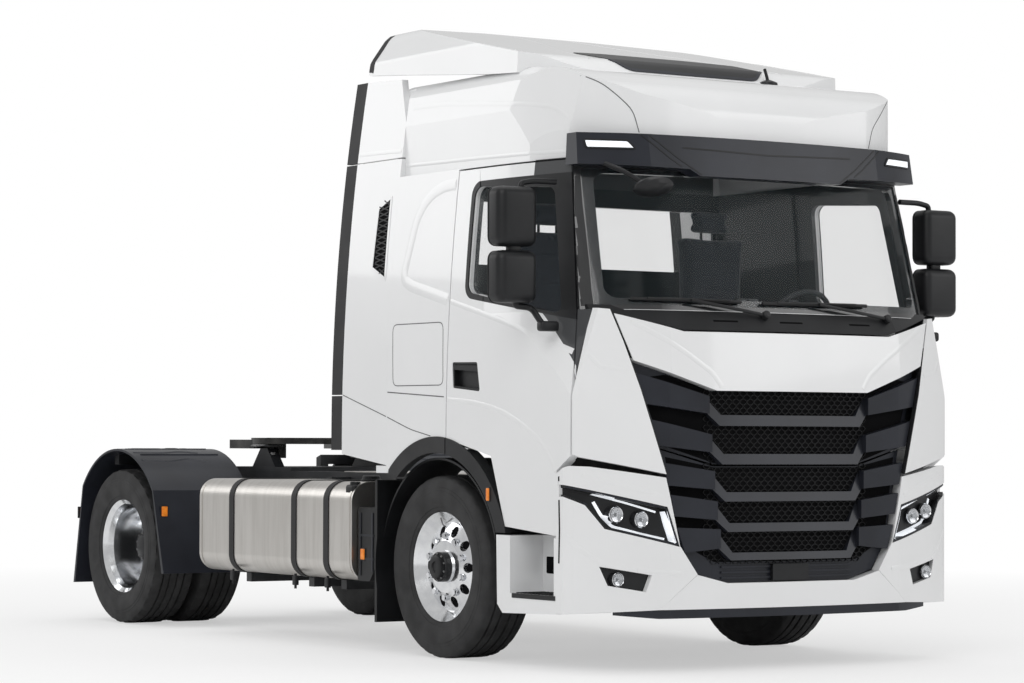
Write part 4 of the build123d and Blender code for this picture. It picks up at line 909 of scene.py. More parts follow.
class TRACTOR_OT_wheel_fittings(bpy.types.Operator):
    """Wheel nuts, hub ends, valves and the rims' dark hand holes"""
    bl_idname = "tractor.wheel_fittings"
    bl_label = "Wheel fittings"

    def execute(self, context):
        tree = ring_tree()
        for side, hand in SIDES:
            for place, node, body, y in (
                ("front", f"rim_front_{side}", f"wheel_front_{side}", FRONT_AXLE),
                ("rear", f"rims_rear_{side}", f"wheels_rear_{side}", REAR_AXLE),
            ):
                disc = Surface(node).meet("side", hand, (y - FRONT_AXLE) * 1000 + 45, 496 + 161)[0].x
                nuts = grown_by(tree, f"wheel_nuts_{place}_{side}", {
                    "Count": BOLTS, "Radius": 0.1675, "Centre": (disc + hand * 0.004, y, HUB_Z),
                    "Across": 0.0175, "Height": 0.034, "Material": palette["chrome"]})
                tidy_mesh(nuts, smooth=False)
                settle(nuts, body)
                self.hub(place, side, hand, body, disc, y)
        return {"FINISHED"}

    def hub(self, place, side, hand, body, disc, y):
        """A black hub end with a stepped cap, the rim's hand holes, a ring of small bolts and the valve."""
        profile, ring, reach, slope = HUBS[place]
        centre, way = Vector((disc, y, HUB_Z)), Vector((hand, 0, 0))
        holes, bolts = [], []
        for i in range(BOLTS):
            angle = 2 * math.pi * i / BOLTS
            spoke = Vector((0, math.cos(angle), math.sin(angle)))
            spot = centre + spoke * HOLE_RING - way * (HOLE_RING - RIM_NECK) * slope
            holes.append(turned([(-0.003, 0.0), (-0.003, 0.024), (0.001, 0.022), (0.0012, 0.0)], spot,
                                (way + spoke * slope).normalized(), 18, closed=False))
            angle = 2 * math.pi * (i + 0.5) / BOLTS
            spot = centre + Vector((hand * reach, ring * math.cos(angle), ring * math.sin(angle)))
            bolts.append(turned([(-0.004, 0), (-0.004, 0.006), (0.005, 0.006), (0.007, 0.004), (0.007, 0)],
                                spot, way, 6, closed=False))
        root = centre + Vector((hand * 0.004, 0.0, 0.215))
        valve = tube([root, root + Vector((hand * 0.02, 0, 0.012)), root + Vector((hand * 0.035, 0, 0.05))],
                     0.004, 8, 0.01)
        end = f"{place}_{side}"
        build(f"hub_cap_{end}", "black plastic", body, "black_plastic",
              turned(profile, centre, way, 40, closed=False))
        # The rims' hand holes are near black discs: painted shade.
        build(f"hand_holes_{end}", "deep shadow", body, "black_plastic", *holes)
        build(f"hub_bolts_{end}", "dull steel", body, "steel", *bolts, smooth=False)
        build(f"valve_{end}", "dull steel", body, "steel", valve)


# ---- grille ----
MESH_HALF = 0.52
MESH_COLUMNS, MESH_ROWS = 28, 40
# How far ahead of the sheet's middle the honeycomb is laid
SHEET_FRONT = Vector((0, -0.0128, 0))
UPPER_FIELD = ((-480, 1070), (480, 1070), (780, 1160), (905, 1500), (760, 1520), (500, 1452),
               (-500, 1452), (-760, 1520), (-905, 1500), (-780, 1160))
LOWER_FIELD = ((-470, 560), (470, 560), (690, 668), (760, 1100), (470, 1046), (-470, 1046), (-760, 1100),
               (-690, 668))


class TRACTOR_OT_grille(bpy.types.Operator):
    """Honeycomb behind the grille bars, and the slatted foot with its blank plate holder"""
    bl_idname = "tractor.grille"
    bl_label = "Grille"

    def execute(self, context):
        tree = hexagon_tree()
        cell = settings().cell
        for name, field, body in (("upper", UPPER_FIELD, "hatch"), ("lower", LOWER_FIELD, "chassis")):
            target = self.field(Surface(f"{name}_grille"), name, body, field)
            comb = grown_by(tree, f"honeycomb_{name}", {
                "Target": target, "Width": cell, "Height": cell * 0.66,
                "Columns": MESH_COLUMNS, "Rows": MESH_ROWS,
                "Base": (-MESH_COLUMNS / 2 * cell, -4.0, min(z for _, z in field) / 1000 - 0.02),
                "Material": palette["black plastic"]})
            bpy.data.objects.remove(target)
            tidy_mesh(comb, smooth=False)
            settle(comb, body)
        self.foot()
        return {"FINISHED"}

    def field(self, surface, name, body, outline):
        """Lays a thin black sheet behind the bars as painted shade, and returns its middle as the honeycomb's
        target.
        """
        bm = flat_grid(outline, 24)
        bmesh.ops.triangulate(bm, faces=[f for f in bm.faces if len(f.verts) > 4])
        missed = []
        for vert in bm.verts:
            hit = surface.meet("inside", 1, vert.co.x, vert.co.y)
            if hit is None:
                missed.append(vert)
            else:
                vert.co = hit[0] + SHEET_FRONT
        bmesh.ops.delete(bm, geom=missed, context="VERTS")
        bm.verts.index_update()
        spots = [v.co.copy() for v in bm.verts]
        sheet = thickened(bm, spots, [spot + Vector((0, 0.002, 0)) for spot in spots])
        build(f"grille_shadow_{name}", "deep shadow", body, "black_plastic", sheet)
        outer = [f for f in bm.faces if abs(f.calc_center_median().x) > MESH_HALF]
        bmesh.ops.delete(bm, geom=outer, context="FACES")
        mesh = bpy.data.meshes.new("target")
        bm.to_mesh(mesh)
        bm.free()
        target = bpy.data.objects.new("target", mesh)
        bpy.context.scene.collection.objects.link(target)
        return target

    def foot(self):
        """Slats under the last bar, and the holder for a number plate, left blank."""
        surface = Surface("lower_grille")
        build("foot_slats", "dark plastic", "chassis", "dark_plastic", *(
            ribbon(surface, "front", 1, [(x, z), (x + 310, z)], 10, 10, bed=2)
            for z in (478, 506, 534) for x in (-430, 120)), smooth=False)
        outline = rounded([(-118, 460), (118, 460), (118, 546), (-118, 546)], 8)
        build("plate_holder", "black plastic", "chassis", "black_plastic",
              skin(surface, "front", 1, outline, 26, 1, 60), smooth=False)


# ---- lamps ----
class TRACTOR_OT_lamps(bpy.types.Operator):
    """Headlamps with projectors and light strips, and fog lamps"""
    bl_idname = "tractor.lamps"
    bl_label = "Lamps"
    strips = (
        (((813, 819), (966, 866), (1132, 912)), 10),
        (((1119, 871), (1081, 800), (1030, 745), (891, 708), (767, 679)), 15),
        (((732, 662), (764, 752), (784, 822)), 13),
    )
    edge = ((714, 652), (782, 840), (1268, 950), (1260, 905), (1172, 862), (1084, 745))
    # x, z and radius of each lamp
    projectors = ((1030, 807, 40), (903, 782, 40), (1025, 479, 34))
    # A lamp's ring, bowl and lens, as (distance out in metres, share of its radius)
    profiles = (
        ("rims", "chrome", ((-0.006, 1), (0.006, 1.06), (0.01, 1), (0.006, 0.9), (-0.004, 0.86))),
        ("bowls", "lamp reflector", ((-0.01, 0), (0.0015, 0.3), (0.003, 0.6), (0.007, 0.88), (-0.01, 0.88))),
        ("lenses", "lamp cover", ((0.004, 0.86), (0.0085, 0.7), (0.0125, 0.4), (0.014, 0), (0.003, 0))),
    )

    def execute(self, context):
        surface = Surface("front_lamps")
        for side, hand in SIDES:
            build(f"lamp_strips_{side}", "lamp strip", "chassis", "lamp", *(
                ribbon(surface, "front", hand, rounded(line, 18, closed=False), width, 4, bed=1, step=12)
                for line, width in self.strips))
            for part, material, profile in self.profiles:
                build(f"lamp_{part}_{side}", material, "chassis", "lamp", *(
                    turned([(out, radius / 1000 * share) for out, share in profile],
                           self.middle(surface, hand, x, z), (0, -1, 0), 36, closed=part == "rims")
                    for x, z, radius in self.projectors))
            build(f"lamp_bezel_{side}", "dark plastic", "chassis", "dark_plastic", ribbon(
                surface, "front", hand, rounded(self.edge, 14), 7, 2.5, closed=True, bed=1, reach=60))
        return {"FINISHED"}

    def middle(self, surface, hand, x, z):
        """Where a lamp stands on its housing."""
        hit = surface.meet("front", hand, x, z)
        if hit is None:
            raise RuntimeError("a lamp has no face to stand on")
        return hit[0] + Vector((0, -0.002, 0))


# ---- cab outside ----
# Shut lines and pressed folds on the cab's sides: name, nodes, width and line
SHUT_LINES = (
    ("cab_belt", ("cab_shell",), 6, ((-160, 1414), (447, 1447))),
    ("deflector_diagonal", ("side_deflectors", "cab_shell"), 5, ((930, 1436), (491, 1321), (458, 1312))),
    ("diagonal_low", ("cab_shell",), 5, ((446, 1309), (200, 1240), (-150, 1180))),
)
SIDE_FOLDS = (
    ("roof_emboss", ("roof",), 26, ((395, 3026), (250, 3026), (39, 3018), (-368, 2983), (-767, 2946),
                                    (-930, 2920), (-1010, 2880), (-1052, 2845), (-1062, 2787))),
    ("roof_gutter", ("roof",), 22, ((445, 2708), (-303, 2696), (-1120, 2676))),
    ("deflector_crease", ("side_deflectors",), 24, ((470, 2792), (700, 2800), (930, 2805))),
)
RECESS = ((-158, 2566), (-20, 2560), (90, 2528), (175, 2470), (235, 2390), (290, 2210), (322, 2105),
          (316, 2062), (250, 2030), (-158, 1934))
LOCKER = ((-105, 1819), (413, 1819), (390, 1481), (-125, 1479))
VENT = ((522, 2535), (648, 2482), (672, 2146), (522, 2078))


def fold(surface, view, hand, line, radius=60, width=26, ridge=3.0, reach=70, step=25):
    """A soft fold pressed into a panel, its bends rounded by radius."""
    points = rounded(line, radius, closed=False) if radius else line
    return ribbon(surface, view, hand, points, width, 0.1, step=step, reach=reach, ridge=ridge)


class TRACTOR_OT_cab_sides(bpy.types.Operator):
    """Shut lines, pressed recesses, locker doors and vents on the cab's sides"""
    bl_idname = "tractor.cab_sides"
    bl_label = "Cab sides"

    def execute(self, context):
        shell = Surface("cab_shell")
        for side, hand in SIDES:
            for name, nodes, width, line in SHUT_LINES:
                points = rounded(line, 60, closed=False)
                build(f"{name}_{side}", "seam", "cab", "paint",
                      ribbon(Surface(*nodes), "side", hand, points, width, 0.7, reach=60))
            for name, nodes, width, line in SIDE_FOLDS:
                build(f"{name}_{side}", "body paint", "cab", "paint",
                      fold(Surface(*nodes), "side", hand, line, 60, width, 2.6, 60))
            build(f"locker_seam_{side}", "seam", "cab", "rubber",
                  ribbon(shell, "side", hand, rounded(LOCKER, 42), 5, 0.7, closed=True))
            build(f"recess_rim_{side}", "body paint", "cab", "paint",
                  fold(shell, "side", hand, RECESS, 40, 66, 5.5, None, 18))
            self.vent(Surface("side_deflectors"), side, hand)
        return {"FINISHED"}

    def vent(self, surface, side, hand):
        """A framed vent with crossed blades, its bed near black as painted shade."""
        build(f"vent_bed_{side}", "deep shadow", "cab", "black_plastic",
              skin(surface, "side", hand, VENT, 1.2, 1, 30))
        build(f"vent_frame_{side}", "body paint", "cab", "paint",
              ribbon(surface, "side", hand, VENT, 16, 3.5, closed=True, step=20))
        blades = []
        for z in range(2110, 2500, 32):
            end = 640 if 2140 < z < 2480 else 590
            blades.append(ribbon(surface, "side", hand, [(532, z), (end, z + 26)], 6, 5, step=30))
            blades.append(ribbon(surface, "side", hand, [(532, z + 26), (end, z)], 6, 4, step=30))
        build(f"vent_blades_{side}", "black plastic", "cab", "black_plastic", *blades, smooth=False)


class TRACTOR_OT_doors(bpy.types.Operator):
    """Pressed lines and locks on the doors"""
    bl_idname = "tractor.doors"
    bl_label = "Doors"
    creases = (
        ((-172, 1928), (-661, 1813), (-1000, 1722), (-1282, 1634)),
        ((-172, 1398), (-420, 1384), (-685, 1341), (-900, 1262), (-1059, 1184), (-1160, 1085), (-1212, 1000)),
    )

    def execute(self, context):
        for side, hand in SIDES:
            body = f"door_{side}"
            surface = Surface(body)
            build(f"door_creases_{side}", "body paint", body, "paint",
                  *(fold(surface, "side", hand, line, 120, 30) for line in self.creases))
            spot = surface.meet("side", hand, -255, 1520)[0] + Vector((hand * 0.002, 0, -0.03))
            build(f"door_lock_{side}", "dull steel", body, "steel", turned(
                [(-0.004, 0), (-0.004, 0.013), (0.002, 0.013), (0.004, 0.011), (0.004, 0)],
                spot, (hand, 0, 0), 20, closed=False))
        return {"FINISHED"}


class TRACTOR_OT_roof(bpy.types.Operator):
    """Roof seams, the spoiler's insert, its pressed lines and rubber edge, and the antenna"""
    bl_idname = "tractor.roof"
    bl_label = "Roof and spoiler"
    dome = ((1030, 3068), (954, 3028), (868, 2951), (804, 2888), (770, 2775))
    creases = (
        ((1003, 396), (1040, -8), (1060, -325), (1050, -520)),
        ((201, 754), (298, 346), (520, -160), (609, -415), (655, -640)),
    )
    brow = ((-520, -628), (-430, -700), (430, -700), (520, -628))
    tail = ((846, 3512), (886, 3516), (928, 3280), (884, 3272), (858, 3400))

    def execute(self, context):
        roof, spoiler = Surface("roof"), Surface("roof_spoiler")
        build("roof_seams", "seam", "cab", "rubber", *(
            ribbon(roof, "front", hand, rounded(self.dome, 60, closed=False), 5, 0.7, reach=70, step=15)
            for hand in (1, -1)))
        build("spoiler_creases", "body paint", "cab", "paint", *(
            fold(spoiler, "top", hand, line, 120, 26, 2.6, 80) for hand in (1, -1) for line in self.creases))
        insert = rounded([*self.brow, (560, -330), (300, -250), (-300, -250), (-560, -330)], 50)
        build("spoiler_insert", "black plastic", "cab", "black_plastic",
              skin(spoiler, "top", 1, insert, 3, 2, 40))
        build("spoiler_sill", "dark plastic", "cab", "dark_plastic",
              ribbon(spoiler, "top", 1, rounded(self.brow, 40, closed=False), 16, 6))
        spot = Surface("roof_spoiler", "roof").meet("top", 1, 505, -716)[0]
        base = turned([(-0.01, 0), (-0.01, 0.055), (0.006, 0.052), (0.016, 0.03), (0.022, 0.012), (0.022, 0)],
                      spot, (0, 0, 1), 24, closed=False)
        bends = ((0, 0, 0.01), (0, 0.012, 0.045), (0, 0.03, 0.085))
        mast = tube([spot + Vector(p) for p in bends], 0.009, 10)
        build("antenna", "black plastic", "cab", "black_plastic", base, mast)
        build("spoiler_edge", "black rubber", "cab", "rubber",
              *(skin(spoiler, "side", hand, self.tail, 2.5, 2, 30) for hand in (1, -1)))
        return {"FINISHED"}


class TRACTOR_OT_visor(bpy.types.Operator):
    """The sun visor's light strips, inset and pressed bands"""
    bl_idname = "tractor.visor"
    bl_label = "Sun visor"

    def execute(self, context):
        visor = Surface("sun_visor")
        outline = rounded([(1088, 2726), (872, 2724), (836, 2683), (1080, 2683)], 10)
        bands = [ribbon(visor, "front", hand, line, 7, 1.6, reach=60) for hand in (1, -1) for line in (
            ((800, 2758), (640, 2640), (520, 2566)), ((755, 2758), (590, 2640), (462, 2562)))]
        bands.append(ribbon(visor, "front", 1, ((-560, 2700), (-24, 2685), (560, 2700)), 8, 1.8))
        build("visor_lights", "lamp strip", "cab", "lamp",
              *(skin(visor, "front", hand, outline, 3.5, 1, 16) for hand in (1, -1)))
        build("visor_light_frames", "black plastic", "cab", "black_plastic",
              *(ribbon(visor, "front", hand, outline, 9, 5, closed=True, step=16) for hand in (1, -1)))
        build("visor_bands", "black plastic", "cab", "black_plastic", *bands)
        return {"FINISHED"}


class TRACTOR_OT_front(bpy.types.Operator):
    """Wipers, cowl slots, door gaps, the panels' pressed lines, and the covers on the windscreen posts"""
    bl_idname = "tractor.front"
    bl_label = "Front"
    # Pressed lines: name, body, nodes and each line's radius, width and points
    folds = (
        ("bumper_creases", "chassis", "bumper_corners", (
            (60, 26, ((1262, 700), (1200, 630), (1111, 569), (1064, 543), (900, 523), (700, 505))),
            (0, 26, ((1190, 1010), (800, 900))))),
        ("nose_creases", "hatch", "nose_panel", (
            (90, 30, ((960, 1790), (700, 1650), (520, 1530), (470, 1460))),)),
        ("corner_creases", "cab", "corner_panels", ((0, 26, ((1180, 1640), (1117, 1559), (985, 1540))),)),
    )
    door_gap = ((-1250, 1028), (-1265, 1000), (-1268, 881), (-1273, 729), (-1268, 560))
    post = ((1089, 1868), (1147, 1868), (1142, 1950), (1127, 2100), (1117, 2250), (1102, 2400), (1082, 2546),
            (1058, 2546), (1068, 2400), (1073, 2250), (1079, 2100), (1088, 1950))

    def execute(self, context):
        glass, cowl, bumper = Surface("cab_glass"), Surface("cowl"), Surface("bumper_corners")
        self.wiper(glass, cowl, "right", (-929, 1907), (-286, 1902), (-150, 1836))
        self.wiper(glass, cowl, "left", (-150, 1899), (576, 1906), (709, 1838))
        build("cowl_slots", "deep shadow", "cab", "black_plastic",
              *(ribbon(cowl, "front", 1, [(x, 1800), (x + 150, 1800)], 8, 1.0) for x in (-480, -60, 420)))
        for name, body, node, lines in self.folds:
            surface = Surface(node)
            build(name, "body paint", body, "paint", *(
                fold(surface, "front", hand, line, radius, width)
                for hand in (1, -1) for radius, width, line in lines))
        build("door_gaps", "deep shadow", "chassis", "black_plastic",
              *(ribbon(bumper, "side", hand, self.door_gap, 12, 0.7, reach=40) for hand in (1, -1)))
        shell = Surface("cab_shell")
        for side, hand in SIDES:
            build(f"pillar_cover_{side}", "black plastic", "cab", "black_plastic",
                  skin(shell, "front", hand, self.post, 1.5, 1.5, 12, station(-1.08)))
        # A near black blind behind the gap between the two grilles, painted shade where the gap is dark
        build("grille_blind", "deep shadow", "chassis", "black_plastic",
              lump((-770, 770), (-1440, -1434), (1045, 1165), 2, 1), smooth=False)
        return {"FINISHED"}

    def wiper(self, glass, cowl, name, tip, heel, pivot):
        """A blade with its spine, laid just off the windscreen, and its bent arm."""
        line = []
        for i in range(9):
            x, z = (a + (b - a) * (i / 8) for a, b in zip(tip, heel))
            line.append(glass.meet("front", 1, x, z)[0] + Vector((0, -0.012, 0)))
        spine = tube([p + Vector((0, -0.012, 0.004)) for p in line[1:-1]], 0.006, 8)
        middle = line[4] + Vector((0, -0.024, 0))
        foot = cowl.meet("front", 1, *pivot)[0] + Vector((0, -0.02, 0))
        arm = tube([middle, middle.lerp(foot, 0.5) + Vector((0, -0.012, 0)), foot], 0.009, 8, 0.05)
        hub = turned([(-0.02, 0), (-0.02, 0.024), (0.014, 0.022), (0.02, 0.014), (0.02, 0)], foot,
                     (0, -1, 0.4), 20, closed=False)
        build(f"wiper_blade_{name}", "black rubber", "cab", "rubber", tube(line, 0.009, 8), spine)
        build(f"wiper_arm_{name}", "black plastic", "cab", "black_plastic", arm, hub)


class TRACTOR_OT_mirrors(bpy.types.Operator):
    """Rounded mirror cases with their arms and glass, and the mirror over the windscreen"""
    bl_idname = "tractor.mirrors"
    bl_label = "Mirrors"
    top_arm = ((1160, -1062, 2514), (1300, -1062, 2514), (1372, -1060, 2500), (1376, -1058, 2460))
    low_arm = ((1250, -1176, 1764), (1308, -1168, 1768), (1311, -1066, 1862), (1400, -1057, 1868),
               (1404, -1057, 1896))

    def execute(self, context):
        for side, hand in SIDES:
            body = f"door_{side}"
            case = []
            for low, high in ((2172, 2478), (1882, 2150)):
                case.append(lump(across(hand, 1302, 1543), (-1126, -987), (low, high), 46, 6))
                rim = rounded([(1308, low + 6), (1537, low + 6), (1537, high - 6), (1308, high - 6)], 46, 6)
                line = path(hand, *((x, -1008, z) for x, z in rim))
                case.append(tube(line + line[:1], 0.006, 6))
            case += [
                lump(across(hand, 1380, 1450), (-1080, -1030), (2140, 2184), 10),
                tube(path(hand, *self.top_arm), 0.015, 14, 0.04),
                tube(path(hand, *self.low_arm), 0.0165, 14, 0.035),
                lump(across(hand, 1225, 1334), (-1200, -1142), (1738, 1790), 14, 3),
            ]
            piece = build(f"mirror_case_{side}", "black plastic", body, "black_plastic", *case, angle=50)
            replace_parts(piece, f"mirror_{side}")
            build(f"mirror_glass_{side}", "mirror glass", body, "glass", *(
                lump(across(hand, 1334, 1511), (-989, -985), span, 1.5, 1)
                for span in ((2206, 2444), (1914, 2118))))
        self.front_mirror()
        return {"FINISHED"}

    def front_mirror(self):
        """The small close-view mirror on its arm, hung from the visor on the passenger's side."""
        centre = metres(-860, -1520, 2470)
        verts, faces = turned([(-0.035, 0), (-0.03, 0.06), (-0.01, 0.1), (0.012, 0.112), (0.026, 0.108),
                               (0.02, 0.1), (0.012, 0)], centre, (-0.35, 1, 0.5), 28, closed=False)
        case = [centre + Vector((v.x * 1.25, v.y, v.z * 0.5)) for v in (vert - centre for vert in verts)]
        arm = tube(path(1, (-1010, -1290, 2600), (-985, -1400, 2560), (-900, -1470, 2492)), 0.013, 10, 0.04)
        build("front_mirror", "black plastic", "cab", "black_plastic", (case, faces))
        build("front_mirror_arm", "black plastic", "cab", "black_plastic", arm)


# ---- chassis ----
class TRACTOR_OT_markers(bpy.types.Operator):
    """Amber side lamps, rear lamps and their housings, and the rear mudguards' ribs"""
    bl_idname = "tractor.markers"
    bl_label = "Side and rear lamps"

    def execute(self, context):
        guards, tail = Surface("rear_mudguards"), Surface("tail_bar")
        for side, hand in SIDES:
            for name, node, body, y, z, half, tall in (
                ("arch", f"arch_trim_{side}", f"door_{side}", -588, 898, 13, 33),
                ("battery", "battery_box", "chassis", 770, 540, 20, 30),
            ):
                hit = Surface(node).meet("side", hand, y, z)
                if hit is None:
                    raise RuntimeError("a side lamp has no face to stand on")
                x = abs(hit[0].x) * 1000
                build(f"marker_{name}_{side}", "amber lens", body, "lamp", lump(
                    across(hand, x - 1, x + 10), (y - half, y + half), (z - tall, z + tall), 4))
                half, tall = half + 6, tall + 6
                build(f"marker_seat_{name}_{side}", "black plastic", body, "black_plastic", lump(
                    across(hand, x - 2, x + 4), (y - half, y + half), (z - tall, z + tall), 3))
            for place, lens, seat, z in (("front", (3216, 3234), (3223, 3234), 730),
                                         ("rear", (4404, 4426), (4404, 4419), 700)):
                build(f"marker_guard_{place}_{side}", "amber lens", "chassis", "lamp",
                      lump(across(hand, 1172, 1212), lens, (z - 31, z + 31), 4))
                build(f"marker_seat_guard_{place}_{side}", "black plastic", "chassis", "black_plastic",
                      lump(across(hand, 1165, 1219), seat, (z - 38, z + 38), 3))
            build(f"guard_ribs_{side}", "dark plastic", "chassis", "dark_plastic", *(
                fold(guards, "top", hand, ((760, y), (880, y + 34), (1010, y), (1215, y + 10)), 60, 22, 4.5)
                for y in range(3480, 4081, 120)))
            build(f"tail_lens_{side}", "red lens", "chassis", "lamp",
                  *(self.lens(tail, hand, *span) for span in ((575, 665), (775, 865))))
            build(f"tail_amber_{side}", "amber lens", "chassis", "lamp", self.lens(tail, hand, 680, 760))
        return {"FINISHED"}

    def lens(self, surface, hand, low, high):
        """One square of a rear lamp."""
        outline = rounded([(low, 690), (high, 690), (high, 785), (low, 785)], 10)
        return skin(surface, "rear", hand, outline, 0.4, 1, 40)


class TRACTOR_OT_tank(bpy.types.Operator):
    """Filler caps, strap clamps and rolled seams of the fuel tanks, the canister and the battery box's lid"""
    bl_idname = "tractor.tank"
    bl_label = "Fuel tanks"

    def execute(self, context):
        tanks, box = Surface("fuel_tanks"), Surface("battery_box")
        low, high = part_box("battery_box")
        y0, y1 = (v * 1000 - FRONT_AXLE * 1000 for v in (low.y, high.y))
        z0, z1 = low.z * 1000, high.z * 1000
        for side, hand in SIDES:
            build(f"tank_rims_{side}", "satin aluminium", "chassis", "tank_metal", *(
                ribbon(tanks, "side", hand, [(y, 430), (y, 905)], 14, 3.5, step=15) for y in (866, 2636)))
            neck = turned([(-0.02, 0), (-0.02, 0.03), (0.008, 0.03), (0.012, 0.026), (0.012, 0)],
                          metres(hand * 1186, 893, 934), (0, 0, 1), 24, closed=False)
            build(f"canister_{side}", "black plastic", "chassis", "black_plastic",
                  lump(across(hand, 1147, 1228), (848, 940), (818, 930), 18, 4), neck)
            spot, out = tanks.meet("top", hand, 1010, 1010)
            build(f"filler_cap_{side}", "black plastic", "chassis", "black_plastic", turned(
                [(-0.01, 0), (-0.01, 0.06), (0.012, 0.06), (0.016, 0.052), (0.03, 0.05), (0.034, 0.044),
                 (0.034, 0)], spot, out, 30, closed=False))
            clamps = []
            for y in (1125, 1496, 2250):
                clamps.append(lump(across(hand, 1216, 1240), (y - 20, y + 20), (338, 392), 4))
                clamps.append(tube(path(hand, (1228, y, 318), (1228, y, 405)), 0.008, 8))
            build(f"strap_clamps_{side}", "black plastic", "chassis", "black_plastic", *clamps)
            lid = [ribbon(box, "side", hand, [(y0 + 14, z), (y1 - 14, z)], 12, 4, reach=60)
                   for z in (z0 + (z1 - z0) * 0.3, z0 + (z1 - z0) * 0.62)]
            lid += [ribbon(box, "side", hand, [(y, z0 + 30), (y, z1 - 30)], 16, 5, reach=60)
                    for y in (y0 + 30, y1 - 30)]
            build(f"battery_lid_{side}", "dark plastic", "chassis", "black_plastic", *lid, smooth=False)
        return {"FINISHED"}


class TRACTOR_OT_steps(bpy.types.Operator):
    """Treads and edges of the cab steps, and the grip recess in their side panel"""
    bl_idname = "tractor.steps"
    bl_label = "Cab steps"

    def execute(self, context):
        tree = row_tree()
        surface = Surface("steps")
        grip = rounded([(-1000, 490), (-845, 490), (-845, 578), (-1000, 578)], 10)
        for side, hand in SIDES:
            for name, z, low, high in (("low", 680, 1075, 1250), ("foot", 440, 1075, 1255)):
                spot = surface.tree.ray_cast(metres(hand * 1160, -1000, z), Vector((0, 0, -1)))[0]
                if spot is None:
                    raise RuntimeError("a step has no face for its treads")
                top = spot.z * 1000
                start = lump(across(hand, low, high), (-1190, -1178), (top - 1, top + 5), 2, 1)
                mesh = make_object("tread", *start, "black plastic", False).data
                bpy.data.objects.remove(bpy.data.objects["tread"])
                tread = grown_by(tree, f"step_treads_{name}_{side}", {
                    "Count": 11, "Step": (0, 0.033, 0), "Material": palette["black plastic"]}, mesh)
                settle(tread, "chassis")
            build(f"step_edge_{side}", "black plastic", "chassis", "black_plastic",
                  ribbon(surface, "side", hand, [(-1225, 380), (-830, 380)], 24, 2.5), smooth=False)
            # The grip recess is a near black skin: painted shade.
            build(f"step_grip_{side}", "deep shadow", "chassis", "black_plastic",
                  skin(surface, "side", hand, grip, 1.5, 1, 40))
        return {"FINISHED"}


class TRACTOR_OT_coupling(bpy.types.Operator):
    """Grease grooves, the release handle and hinge bolts of the fifth wheel"""
    bl_idname = "tractor.coupling"
    bl_label = "Fifth wheel"

    def execute(self, context):
        plate, base = Surface("fifth_wheel_plate"), Surface("fifth_wheel_base")
        ring = [(math.sin(t) * 300, 3350 - math.cos(t) * 300) for t in map(math.radians, range(12, 150, 8))]
        mouth = ((160, 3110), (330, 3210), (390, 3340))
        build("grease_grooves", "grease", "fifth_wheel", "cast", *(
            ribbon(plate, "top", hand, line, width, 0.6, reach=40)
            for hand in (1, -1) for line, width in ((ring, 14), (mouth, 12))))
        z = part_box("fifth_wheel_plate")[1].z * 1000 - 52
        rod = tube(path(1, (-300, 3300, z), (-440, 3240, z), (-520, 3235, z)), 0.009, 10, 0.04)
        grip = turned([(-0.006, 0.006), (0.006, 0.006), (0.01, 0.012), (0.004, 0.03), (-0.004, 0.03),
                       (-0.01, 0.012)], metres(-535, 3235, z), (0, 0, 1), 20)
        build("release_handle", "dull steel", "fifth_wheel", "steel", rod, grip)
        bolts = []
        head = ((-0.002, 0), (-0.002, 0.017), (0.013, 0.017), (0.015, 0.014), (0.015, 0))
        for hand in (1, -1):
            for y in (3270, 3430):
                spot = base.tree.ray_cast(metres(hand * 385, y, 1300), Vector((0, 0, -1)))[0]
                if spot is not None:
                    bolts.append(turned(head, spot, (0, 0, 1), 6, closed=False))
        if bolts:
            build("base_bolts", "dull steel", "chassis", "steel", *bolts, smooth=False)
        return {"FINISHED"}


# ---- cab inside ----
CLOTH_STEPS = 20


def padded_form(name, x, y, z, material, crown=0.02, waist=0.012, cell=0.006):
    """A cushion's starting shape: a rounded block with a crowned top and sides that pull in."""
    verts, faces = lump(x, y, z, 34, 4)
    piece = make_object(name, verts, faces, material)
    subdivide = piece.modifiers.new("cuts", "REMESH")
    subdivide.mode = "VOXEL"
    subdivide.voxel_size = cell
    apply_stack(piece)
    low, top = (metres(x[0], y[0], z[0]), metres(x[1], y[1], z[1]))
    middle, half = (low + top) / 2, (top - low) / 2
    for vert in piece.data.vertices:
        u = [(vert.co[i] - middle[i]) / half[i] for i in range(3)]
        high = max(0.0, u[2])
        vert.co.z += crown * high * (1 - min(1, u[0] ** 2)) * (1 - min(1, u[1] ** 2)) - crown * 0.9 * high
        pull = waist * (1 - u[2] ** 2)
        vert.co.x -= pull * u[0]
        vert.co.y -= pull * u[1]
    return piece


def inflate(piece, cap=0.012):
    """Lets cloth pressure swell a cushion a little, no further than cap."""
    rest = [v.co.copy() for v in piece.data.vertices]
    cloth = piece.modifiers.new("swell", "CLOTH")
    cloth.settings.use_pressure = True
    cloth.settings.uniform_pressure_force = 4
    cloth.settings.effector_weights.gravity = 0
    cloth.settings.quality = 4
    cloth.collision_settings.use_collision = False
    cloth.point_cache.frame_start = 1
    cloth.point_cache.frame_end = CLOTH_STEPS
    for step in range(1, CLOTH_STEPS + 1):
        bpy.context.scene.frame_set(step)
    apply_stack(piece)
    bpy.context.scene.frame_set(1)
    for vert, start in zip(piece.data.vertices, rest):
        move = vert.co - start
        if move.length > cap:
            vert.co = start + move.normalized() * cap


def press_line(piece, axis, places, span, depth=0.007, width=0.008):
    """Sews channels across a cushion: vertices near each line sink."""
    index = "xyz".index(axis)
    centre = sum((v.co for v in piece.data.vertices), Vector()) / len(piece.data.vertices)
    for vert in piece.data.vertices:
        if not span[0] <= vert.co.x <= span[1]:
            continue
        for place in places:
            near = abs(vert.co[index] - place)
            if near < width * 2:
                pull = depth * math.exp(-(near / width) ** 2)
                way = vert.co - centre
                way[index] = 0
                vert.co -= way.normalized() * pull


